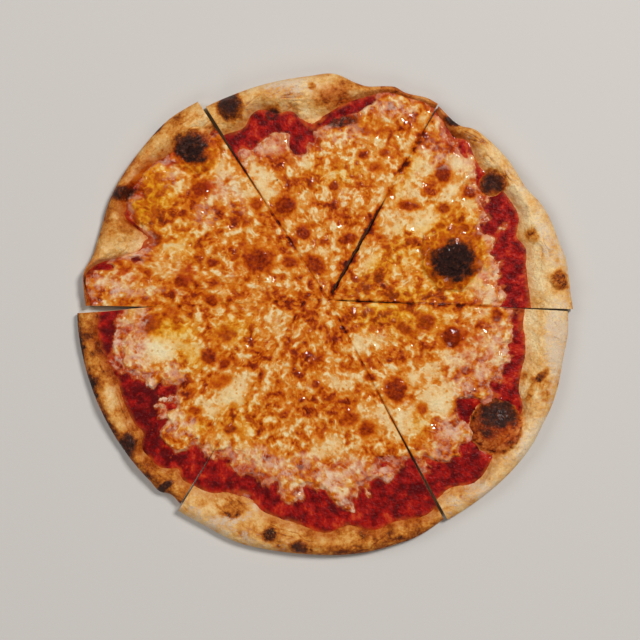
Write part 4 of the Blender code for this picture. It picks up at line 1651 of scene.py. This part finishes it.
class Graph:
    """Adds nodes to one node tree. A value may be a number, a colour or another node's socket."""

    def __init__(self, tree: bpy.types.NodeTree) -> None:
        """Keeps the tree."""
        self.tree = tree

    def add(self, kind: str, **settings: object) -> bpy.types.Node:
        """Adds a node.

        Args:
            kind: The node's type.
            settings: Its settings by name.

        Returns:
            The new node.
        """
        node = self.tree.nodes.new(kind)
        for name, value in settings.items():
            setattr(node, name, value)
        return node

    def feed(self, socket: Socket, value: Value) -> None:
        """Links a socket to the value, or sets it.

        Args:
            socket: The socket to feed.
            value: What it gets.
        """
        if isinstance(value, Socket):
            self.tree.links.new(value, socket)
        else:
            socket.default_value = value

    def math(self, operation: str, first: Value, second: Value = 0.0, clamp: bool = False) -> Socket:
        """The result of one sum.

        Args:
            operation: The Math node's operation.
            first: Its first value.
            second: Its second value.
            clamp: Whether the result is kept from 0 to 1.

        Returns:
            The result's socket.
        """
        node = self.add("ShaderNodeMath", operation=operation, use_clamp=clamp)
        self.feed(node.inputs[0], first)
        self.feed(node.inputs[1], second)
        return node.outputs[0]

    def step(
        self, value: Value, low: float, high: float, to_low: float = 0.0, to_high: float = 1.0
    ) -> Socket:
        """A smooth step of the value.

        Args:
            value: What is stepped.
            low: Where the step starts.
            high: Where it ends.
            to_low: The result before it.
            to_high: The result after it.

        Returns:
            The result's socket.
        """
        node = self.add("ShaderNodeMapRange", interpolation_type="SMOOTHSTEP")
        names = ("Value", "From Min", "From Max", "To Min", "To Max")
        for name, part in zip(names, (value, low, high, to_low, to_high)):
            self.feed(node.inputs[name], part)
        return node.outputs["Result"]

    def blend(self, factor: Value, first: Value, second: Value, how: str = "MIX") -> Socket:
        """One colour laid over another.

        Args:
            factor: How much of the second shows.
            first: The colour below.
            second: The colour above.
            how: The Mix node's blend type.

        Returns:
            The colour's socket.
        """
        node = self.add("ShaderNodeMix", data_type="RGBA", blend_type=how)
        self.feed(node.inputs[0], factor)
        self.feed(node.inputs[6], first)
        self.feed(node.inputs[7], second)
        return node.outputs[2]

    def ramp(self, factor: Value, stops: Stops) -> Socket:
        """A colour from a ramp of display colours.

        Args:
            factor: Where the ramp is read.
            stops: Its places and colours.

        Returns:
            The colour's socket.
        """
        node = self.add("ShaderNodeValToRGB")
        elements = node.color_ramp.elements
        while len(elements) < len(stops):
            elements.new(1.0)
        for element, (place, colour) in zip(elements, stops):
            element.position = place
            element.color = linear(colour)
        self.feed(node.inputs["Fac"], factor)
        return node.outputs["Color"]

    def mask(self, name: str) -> Socket:
        """A mask that the mesh carries."""
        return self.add("ShaderNodeAttribute", attribute_name=name).outputs["Fac"]

    def group(self, tree: bpy.types.NodeTree, **values: Value) -> bpy.types.Node:
        """Places a shared group.

        Args:
            tree: The group.
            values: What its inputs get, by name.

        Returns:
            The group's node.
        """
        node = self.add("ShaderNodeGroup", node_tree=tree)
        for name, value in values.items():
            self.feed(node.inputs[name], value)
        return node

    def bump(self, height: Value) -> Socket:
        """A normal from a relief.

        Args:
            height: The relief in millimetres.

        Returns:
            The normal's socket.
        """
        node = self.add("ShaderNodeBump")
        node.inputs["Strength"].default_value = 1.0
        node.inputs["Distance"].default_value = MM
        self.feed(node.inputs["Height"], height)
        return node.outputs["Normal"]


def new_group(
    name: str, inputs: dict[str, float], output: str
) -> tuple[bpy.types.NodeTree, Graph, dict[str, Socket], Socket]:
    """Starts a shared group.

    Args:
        name: The group's name.
        inputs: Its inputs' names and usual values.
        output: Its output's name.

    Returns:
        The group, its graph, its inputs' sockets by name, and the output's socket.
    """
    tree = bpy.data.node_groups.new(name, "ShaderNodeTree")
    for label, value in inputs.items():
        socket = tree.interface.new_socket(name=label, in_out="INPUT", socket_type="NodeSocketFloat")
        socket.default_value = value
    tree.interface.new_socket(name=output, in_out="OUTPUT", socket_type="NodeSocketFloat")
    graph = Graph(tree)
    start = graph.add("NodeGroupInput")
    end = graph.add("NodeGroupOutput")
    return tree, graph, {label: start.outputs[label] for label in inputs}, end.inputs[output]


@dataclass(frozen=True)
class Shared:
    """The effects that more than one finish uses."""

    mottle: bpy.types.NodeTree
    specks: bpy.types.NodeTree
    grain: bpy.types.NodeTree
    scorch: bpy.types.NodeTree

    @classmethod
    def make(cls) -> "Shared":
        """Builds every shared group."""
        return cls(cls._mottle(), cls._specks(), cls._grain(), cls._scorch())

    @staticmethod
    def _mottle() -> bpy.types.NodeTree:
        """Uneven patches of one size in millimetres, from about -1 to 1.

        Returns:
            The group.
        """
        tree, graph, given, end = new_group("Mottle", {"Size": 2.0, "Roughness": 0.55}, "Value")
        noise = graph.add("ShaderNodeTexNoise")
        graph.feed(noise.inputs["Vector"], graph.add("ShaderNodeTexCoord").outputs["Object"])
        graph.feed(noise.inputs["Scale"], graph.math("DIVIDE", 1000.0, given["Size"]))
        graph.feed(noise.inputs["Roughness"], given["Roughness"])
        noise.inputs["Detail"].default_value = 3.0
        graph.feed(end, graph.math("MULTIPLY", graph.math("SUBTRACT", noise.outputs["Fac"], 0.5), 4.0))
        return tree

    @staticmethod
    def _specks() -> bpy.types.NodeTree:
        """Small round specks in a share of the cells, 1 inside them.

        Returns:
            The group.
        """
        tree, graph, given, end = new_group("Specks", {"Size": 4.0, "Radius": 0.25, "Share": 0.3}, "Mask")
        cells = graph.add("ShaderNodeTexVoronoi")
        graph.feed(cells.inputs["Vector"], graph.add("ShaderNodeTexCoord").outputs["Object"])
        graph.feed(cells.inputs["Scale"], graph.math("DIVIDE", 1000.0, given["Size"]))
        pick = graph.add("ShaderNodeSeparateColor")
        graph.feed(pick.inputs[0], cells.outputs["Color"])
        chosen = graph.math("LESS_THAN", pick.outputs[0], given["Share"])
        radius = graph.math("MULTIPLY", given["Radius"], graph.math("ADD", pick.outputs[1], 0.4))
        inside = graph.math("SUBTRACT", 1.0, graph.math("DIVIDE", cells.outputs["Distance"], radius))
        soft = graph.math("MULTIPLY", inside, 2.5, clamp=True)
        graph.feed(end, graph.math("MULTIPLY", soft, chosen))
        return tree

    @staticmethod
    def _grain() -> bpy.types.NodeTree:
        """A rough relief with soft lumps and finer ones on them, as a height from about -1 to 1.

        Returns:
            The group.
        """
        tree, graph, given, end = new_group("Grain", {"Size": 2.0, "Detail": 1.5}, "Height")
        noise = graph.add("ShaderNodeTexNoise")
        graph.feed(noise.inputs["Vector"], graph.add("ShaderNodeTexCoord").outputs["Object"])
        graph.feed(noise.inputs["Scale"], graph.math("DIVIDE", 1000.0, given["Size"]))
        graph.feed(noise.inputs["Detail"], given["Detail"])
        graph.feed(end, graph.math("MULTIPLY", graph.math("SUBTRACT", noise.outputs["Fac"], 0.5), 4.0))
        return tree

    @staticmethod
    def _scorch() -> bpy.types.NodeTree:
        """Where a burn turns black, broken up into small ragged flecks along its edge.

        Returns:
            The group.
        """
        tree, graph, given, end = new_group("Scorch", {"Burn": 0.0}, "Mask")
        noise = graph.add("ShaderNodeTexNoise")
        graph.feed(noise.inputs["Vector"], graph.add("ShaderNodeTexCoord").outputs["Object"])
        noise.inputs["Scale"].default_value = 520.0
        noise.inputs["Detail"].default_value = 2.0
        noise.inputs["Distortion"].default_value = 2.5
        ragged = graph.math("MULTIPLY", graph.math("SUBTRACT", noise.outputs["Fac"], 0.5), 0.5)
        burn = graph.math("ADD", given["Burn"], ragged)
        near = graph.step(given["Burn"], 0.12, 0.4)
        graph.feed(end, graph.math("MULTIPLY", graph.step(burn, 0.28, 0.75), near))
        return tree


def new_material(name: str) -> tuple[bpy.types.Material, Graph, bpy.types.Node]:
    """Starts a material.

    Args:
        name: The material's name.

    Returns:
        The material, its graph and its Principled shader.
    """
    material = bpy.data.materials.new(name)
    material.use_nodes = True
    shader = material.node_tree.nodes["Principled BSDF"]
    return material, Graph(material.node_tree), shader


@dataclass(frozen=True)
class CheeseFinish:
    """Melted cheese, from cream through orange to a burnt brown, wet with its own oil."""

    toast: Stops = (
        (0.0, (236, 216, 170)),
        (0.13, (228, 190, 132)),
        (0.27, (217, 148, 68)),
        (0.42, (209, 121, 30)),
        (0.56, (197, 96, 8)),
        (0.70, (177, 70, 4)),
        (0.82, (140, 42, 4)),
        (0.92, (104, 26, 4)),
        (1.0, (70, 18, 6)),
    )
    blush: Stops = (
        (0.0, (212, 148, 104)),
        (0.25, (200, 104, 56)),
        (0.5, (186, 70, 20)),
        (0.75, (160, 46, 6)),
        (1.0, (112, 30, 5)),
    )
    gold: Stops = ((0.0, (232, 190, 90)), (0.35, (222, 150, 22)), (0.7, (184, 84, 5)), (1.0, (104, 32, 5)))
    film: Colour = (228, 197, 170)
    char: Stops = ((0.0, (24, 14, 13)), (0.5, (52, 28, 22)), (1.0, (124, 58, 26)))
    pepper: Colour = (50, 20, 10)

    def make(self, shared: Shared) -> bpy.types.Material:
        """Builds the material.

        Args:
            shared: The shared effects.

        Returns:
            The material.
        """
        material, graph, shader = new_material("Melted cheese")
        fine = graph.group(shared.mottle, Size=1.8, Roughness=0.6).outputs[0]
        amount = graph.step(graph.mask("toast"), 0.05, 0.4, 0.05, 0.12)
        toast = graph.math("ADD", graph.mask("toast"), graph.math("MULTIPLY", fine, amount))
        toast = graph.math("MULTIPLY", toast, 0.87)
        colour = graph.ramp(toast, self.toast)
        colour = graph.blend(graph.mask("gold"), colour, graph.ramp(toast, self.gold))
        thin = graph.math("ADD", graph.mask("thin"), graph.math("MULTIPLY", fine, 0.12), clamp=True)
        thin = graph.math("MULTIPLY", thin, graph.step(graph.mask("thin"), 0.0, 0.1))
        colour = graph.blend(thin, colour, graph.ramp(toast, self.blush))
        film = graph.math("ADD", graph.mask("film"), graph.math("MULTIPLY", fine, 0.14), clamp=True)
        film = graph.math("MULTIPLY", film, graph.step(graph.mask("film"), 0.0, 0.15))
        colour = graph.blend(film, colour, linear(self.film))
        specks = graph.group(shared.specks, Size=7.0, Radius=0.08, Share=0.14).outputs[0]
        colour = graph.blend(graph.math("MULTIPLY", specks, 0.85), colour, linear(self.pepper))
        burnt = graph.group(shared.scorch, Burn=graph.mask("burn")).outputs[0]
        streaks = graph.group(shared.mottle, Size=3.0, Roughness=0.75).outputs[0]
        streaks = graph.math("ADD", 0.36, graph.math("MULTIPLY", streaks, 0.5), clamp=True)
        colour = graph.blend(burnt, colour, graph.ramp(streaks, self.char))
        graph.feed(shader.inputs["Base Color"], colour)
        shine = graph.group(shared.mottle, Size=6.0, Roughness=0.5).outputs[0]
        graph.feed(shader.inputs["Roughness"], graph.step(shine, -0.9, 0.9, 0.35, 0.55))
        dry = graph.math("MULTIPLY", graph.mask("burn"), 0.8)
        wet = graph.math("SUBTRACT", graph.step(shine, 0.12, 0.5, 0.0, 1.0), dry, clamp=True)
        graph.feed(shader.inputs["Coat Weight"], wet)
        shader.inputs["Coat Roughness"].default_value = 0.05
        grain = graph.group(shared.grain, Size=2.1, Detail=1.2).outputs[0]
        height = graph.math("ADD", graph.math("MULTIPLY", grain, 0.2), graph.math("MULTIPLY", fine, 0.05))
        crust = graph.math("MULTIPLY", graph.mask("burn"), graph.math("MULTIPLY", streaks, 0.9))
        height = graph.math("ADD", height, crust)
        graph.feed(shader.inputs["Normal"], graph.bump(height))
        shader.inputs["Specular IOR Level"].default_value = 0.05
        shader.inputs["Subsurface Weight"].default_value = 0.1
        shader.inputs["Subsurface Radius"].default_value = (1.0, 0.45, 0.2)
        shader.inputs["Subsurface Scale"].default_value = 0.001
        return material


@dataclass(frozen=True)
class SauceFinish:
    """Cooked tomato sauce: deep red, pulpy and wet, with an orange fringe of oil."""

    red: Stops = (
        (0.0, (88, 2, 3)),
        (0.3, (122, 7, 5)),
        (0.6, (154, 14, 8)),
        (0.85, (180, 34, 14)),
        (1.0, (190, 62, 24)),
    )
    oil: Colour = (188, 84, 26)
    seeds: Colour = (184, 62, 20)
    char: Colour = (34, 12, 10)

    def make(self, shared: Shared) -> bpy.types.Material:
        """Builds the material.

        Args:
            shared: The shared effects.

        Returns:
            The material.
        """
        material, graph, shader = new_material("Tomato sauce")
        fine = graph.group(shared.mottle, Size=1.5, Roughness=0.65).outputs[0]
        tone = graph.math("ADD", graph.mask("tone"), graph.math("MULTIPLY", fine, 0.2))
        colour = graph.ramp(tone, self.red)
        colour = graph.blend(graph.mask("oil"), colour, linear(self.oil))
        seeds = graph.group(shared.specks, Size=4.5, Radius=0.16, Share=0.35).outputs[0]
        colour = graph.blend(graph.math("MULTIPLY", seeds, 0.5), colour, linear(self.seeds))
        burnt = graph.group(shared.scorch, Burn=graph.mask("burn")).outputs[0]
        colour = graph.blend(burnt, colour, linear(self.char))
        graph.feed(shader.inputs["Base Color"], colour)
        shine = graph.group(shared.mottle, Size=5.0, Roughness=0.5).outputs[0]
        graph.feed(shader.inputs["Roughness"], graph.step(shine, -1.0, 1.0, 0.3, 0.5))
        graph.feed(shader.inputs["Coat Weight"], graph.step(shine, 0.2, 0.6, 0.0, 0.6))
        shader.inputs["Coat Roughness"].default_value = 0.07
        grain = graph.group(shared.grain, Size=2.2, Detail=2.5).outputs[0]
        graph.feed(shader.inputs["Normal"], graph.bump(graph.math("MULTIPLY", grain, 0.3)))
        shader.inputs["Specular IOR Level"].default_value = 0.1
        shader.inputs["Subsurface Weight"].default_value = 0.05
        shader.inputs["Subsurface Scale"].default_value = 0.001
        return material


@dataclass(frozen=True)
class CrustFinish:
    """Baked dough: pale and floury through golden to brown and black, with oil near the toppings."""

    brown: Stops = (
        (0.0, (240, 210, 156)),
        (0.18, (231, 187, 124)),
        (0.34, (219, 160, 84)),
        (0.5, (200, 122, 40)),
        (0.64, (164, 82, 12)),
        (0.78, (112, 46, 8)),
        (0.9, (64, 28, 12)),
        (1.0, (36, 20, 16)),
    )
    grease: Colour = (222, 136, 44)
    flour: Colour = (216, 193, 166)
    bran: Colour = (140, 80, 32)
    char: Stops = ((0.0, (32, 16, 12)), (0.5, (68, 32, 20)), (1.0, (134, 66, 28)))
    pores: Colour = (186, 126, 70)
    under: Stops = (
        (0.0, (226, 192, 140)),
        (0.35, (205, 156, 92)),
        (0.6, (160, 98, 44)),
        (0.8, (92, 50, 26)),
        (1.0, (44, 28, 22)),
    )

    def make(self, shared: Shared) -> bpy.types.Material:
        """Builds the material.

        Args:
            shared: The shared effects.

        Returns:
            The material.
        """
        material, graph, shader = new_material("Baked crust")
        fine = graph.group(shared.mottle, Size=1.9, Roughness=0.7).outputs[0]
        blotch = graph.group(shared.mottle, Size=9.0, Roughness=0.6).outputs[0]
        # The brown mask also holds painted shade in the rim's folds, in the gaps at the cuts and along its
        # left outer edge.
        brown = graph.math("ADD", graph.mask("brown"), graph.math("MULTIPLY", fine, 0.15))
        colour = graph.ramp(brown, self.brown)
        colour = graph.blend(graph.mask("grease"), colour, linear(self.grease), "MULTIPLY")
        bran = graph.group(shared.specks, Size=3.2, Radius=0.13, Share=0.35).outputs[0]
        dust = graph.math("ADD", graph.mask("flour"), graph.math("MULTIPLY", fine, 0.5))
        dusted = graph.step(dust, 0.2, 0.85, 0.0, 0.85)
        dusted = graph.math("MULTIPLY", dusted, graph.step(graph.mask("flour"), 0.0, 0.15))
        colour = graph.blend(dusted, colour, linear(self.flour))
        colour = graph.blend(graph.math("MULTIPLY", bran, 0.3), colour, linear(self.bran))
        grit = graph.group(shared.mottle, Size=1.4, Roughness=0.8).outputs[0]
        colour = graph.blend(graph.step(grit, 0.15, 0.85, 0.0, 0.75), colour, linear(self.pores))
        burnt = graph.group(shared.scorch, Burn=graph.mask("burn")).outputs[0]
        streaks = graph.group(shared.mottle, Size=3.0, Roughness=0.75).outputs[0]
        streaks = graph.math("ADD", 0.36, graph.math("MULTIPLY", streaks, 0.5), clamp=True)
        colour = graph.blend(burnt, colour, graph.ramp(streaks, self.char))
        colour = graph.blend(graph.mask("under"), colour, self._underside(graph, shared, fine, blotch))
        graph.feed(shader.inputs["Base Color"], colour)
        greasy = graph.math("MULTIPLY", graph.mask("grease"), 0.35)
        graph.feed(shader.inputs["Roughness"], graph.math("SUBTRACT", 0.68, greasy))
        tar = graph.math("MULTIPLY", graph.mask("burn"), 0.12, clamp=True)
        graph.feed(shader.inputs["Coat Weight"], tar)
        shader.inputs["Coat Roughness"].default_value = 0.22
        grain = graph.group(shared.grain, Size=3.2, Detail=2.5).outputs[0]
        height = graph.math("ADD", graph.math("MULTIPLY", grain, 0.2), graph.math("MULTIPLY", fine, 0.2))
        cracks = graph.math("MULTIPLY", graph.mask("burn"), graph.math("MULTIPLY", streaks, 0.9))
        graph.feed(shader.inputs["Normal"], graph.bump(graph.math("ADD", height, cracks)))
        shader.inputs["Specular IOR Level"].default_value = 0.12
        shader.inputs["Subsurface Weight"].default_value = 0.05
        shader.inputs["Subsurface Scale"].default_value = 0.001
        return material

    def _underside(self, graph: Graph, shared: Shared, fine: Socket, blotch: Socket) -> Socket:
        """The underside's colour, pale with dark leopard spots.

        Args:
            graph: The crust's graph.
            shared: The shared effects.
            fine: Fine uneven patches.
            blotch: Wide uneven patches.

        Returns:
            The colour's socket.
        """
        leopard = graph.math("ADD", 0.3, graph.math("MULTIPLY", blotch, 0.22))
        leopard = graph.math("ADD", leopard, graph.math("MULTIPLY", fine, 0.07))
        spots = graph.group(shared.specks, Size=16.0, Radius=0.42, Share=0.45).outputs[0]
        leopard = graph.math("ADD", leopard, graph.math("MULTIPLY", spots, 0.4))
        return graph.ramp(leopard, self.under)


@dataclass(frozen=True)
class CrumbFinish:
    """The dough's inside on a cut face: pale, with open holes whose hollows are painted darker as shade."""

    # The darker stops are reached only in the holes: painted shade in the hollows.
    crumb: Stops = ((0.0, (150, 104, 54)), (0.4, (208, 170, 114)), (1.0, (230, 204, 158)))

    def make(self, shared: Shared) -> bpy.types.Material:
        """Builds the material.

        Args:
            shared: The shared effects.

        Returns:
            The material.
        """
        material, graph, shader = new_material("Dough crumb")
        fine = graph.group(shared.mottle, Size=1.2, Roughness=0.6).outputs[0]
        holes = graph.group(shared.specks, Size=3.4, Radius=0.38, Share=0.6).outputs[0]
        small = graph.group(shared.specks, Size=1.4, Radius=0.4, Share=0.5).outputs[0]
        depth = graph.math("MAXIMUM", holes, graph.math("MULTIPLY", small, 0.6))
        # The holes' depth darkens the crumb's tone: painted shade in the hollows, besides their bump.
        crumb_tone_and_hole_shade = graph.math("SUBTRACT", graph.math("ADD", 0.75, graph.math("MULTIPLY", fine, 0.12)), depth)
        graph.feed(shader.inputs["Base Color"], graph.ramp(crumb_tone_and_hole_shade, self.crumb))
        shader.inputs["Roughness"].default_value = 0.8
        shader.inputs["Specular IOR Level"].default_value = 0.15
        pitted = graph.math("MULTIPLY", depth, 0.5)
        height = graph.math("SUBTRACT", graph.math("MULTIPLY", fine, 0.08), pitted)
        graph.feed(shader.inputs["Normal"], graph.bump(height))
        shader.inputs["Subsurface Weight"].default_value = 0.08
        shader.inputs["Subsurface Scale"].default_value = 0.0015
        return material


@dataclass(frozen=True)
class Finishes:
    """Every finish, made once."""

    cheese: bpy.types.Material
    sauce: bpy.types.Material
    crust: bpy.types.Material
    crumb: bpy.types.Material

    @classmethod
    def make(cls) -> "Finishes":
        """Builds the shared effects and then the four finishes.

        Returns:
            The finishes.
        """
        shared = Shared.make()
        finishes = (CheeseFinish(), SauceFinish(), CrustFinish(), CrumbFinish())
        return cls(*(finish.make(shared) for finish in finishes))


# The studio


@dataclass(frozen=True)
class Lamp:
    """A round soft light that faces the pizza. share is its part of the light that falls on the floor."""

    name: str
    place: tuple[float, float, float]
    size: float
    share: float

    def build(self) -> None:
        """Hangs the light."""
        light = bpy.data.lights.new(self.name, "AREA")
        light.shape = "DISK"
        light.size = self.size
        towards = Vector(self.place)
        light.energy = self.share * math.pi**2 * towards.length**3 / towards.z
        lamp = bpy.data.objects.new(self.name, light)
        lamp.location = towards
        lamp.rotation_euler = towards.to_track_quat("Z", "Y").to_euler()
        bpy.context.scene.collection.objects.link(lamp)


@dataclass
class Studio:
    """The floor, the light and the camera, which looks straight down."""

    frame_width: float = 463.6
    look_x: float = -3.85
    look_y: float = -4.22
    look_height: float = 8.0
    lens: float = 85.0
    sensor: float = 36.0
    floor_size: float = 6.0
    floor_colour: Colour = (203, 198, 192)
    lamps: tuple[Lamp, ...] = (
        Lamp("key", (1.3, 1.2, 2.4), 0.8, 0.64),
        Lamp("left fill", (-2.2, 0.8, 1.9), 1.6, 0.20),
        Lamp("front fill", (-0.3, -2.4, 1.9), 1.6, 0.13),
    )
    sky: float = 0.06

    def build(self) -> None:
        """Sets everything up."""
        self._floor()
        self._light()
        self._camera()
        bpy.context.scene.view_settings.view_transform = "Standard"

    def _floor(self) -> None:
        """A plain pale floor under the pizza."""
        bm = bmesh.new()
        bmesh.ops.create_grid(bm, x_segments=1, y_segments=1, size=self.floor_size / 2)
        mesh = bpy.data.meshes.new("floor")
        bm.to_mesh(mesh)
        bm.free()
        floor = bpy.data.objects.new("floor", mesh)
        bpy.context.scene.collection.objects.link(floor)
        material, _, shader = new_material("Pale floor")
        shader.inputs["Base Color"].default_value = linear(self.floor_colour)
        shader.inputs["Roughness"].default_value = 0.9
        mesh.materials.append(material)

    def _light(self) -> None:
        """The lamps, and a faint even sky."""
        for lamp in self.lamps:
            lamp.build()
        world = bpy.data.worlds.new("sky")
        world.use_nodes = True
        background = world.node_tree.nodes["Background"]
        background.inputs["Color"].default_value = (1.0, 1.0, 1.0, 1.0)
        background.inputs["Strength"].default_value = self.sky
        bpy.context.scene.world = world

    def _camera(self) -> None:
        """A camera straight above, at the height that frames the photograph's width."""
        camera = bpy.data.cameras.new("camera")
        camera.lens = self.lens
        camera.sensor_width = self.sensor
        seen = bpy.data.objects.new("camera", camera)
        height = self.look_height + self.frame_width * self.lens / self.sensor
        seen.location = (self.look_x * MM, self.look_y * MM, height * MM)
        bpy.context.scene.collection.objects.link(seen)
        bpy.context.scene.camera = seen


def main() -> None:
    """Builds the studio and every layer of every slice."""
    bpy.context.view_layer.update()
    Studio().build()
    finishes = Finishes.make()
    bake = Bake()
    for piece in SLICES:
        for layer in (Dough(piece, bake), Sauce(piece, bake), Cheese(piece, bake)):
            layer.build(finishes)


if __name__ == "__main__":
    logging.basicConfig(level=logging.INFO, format="%(name)s: %(message)s")
    main()
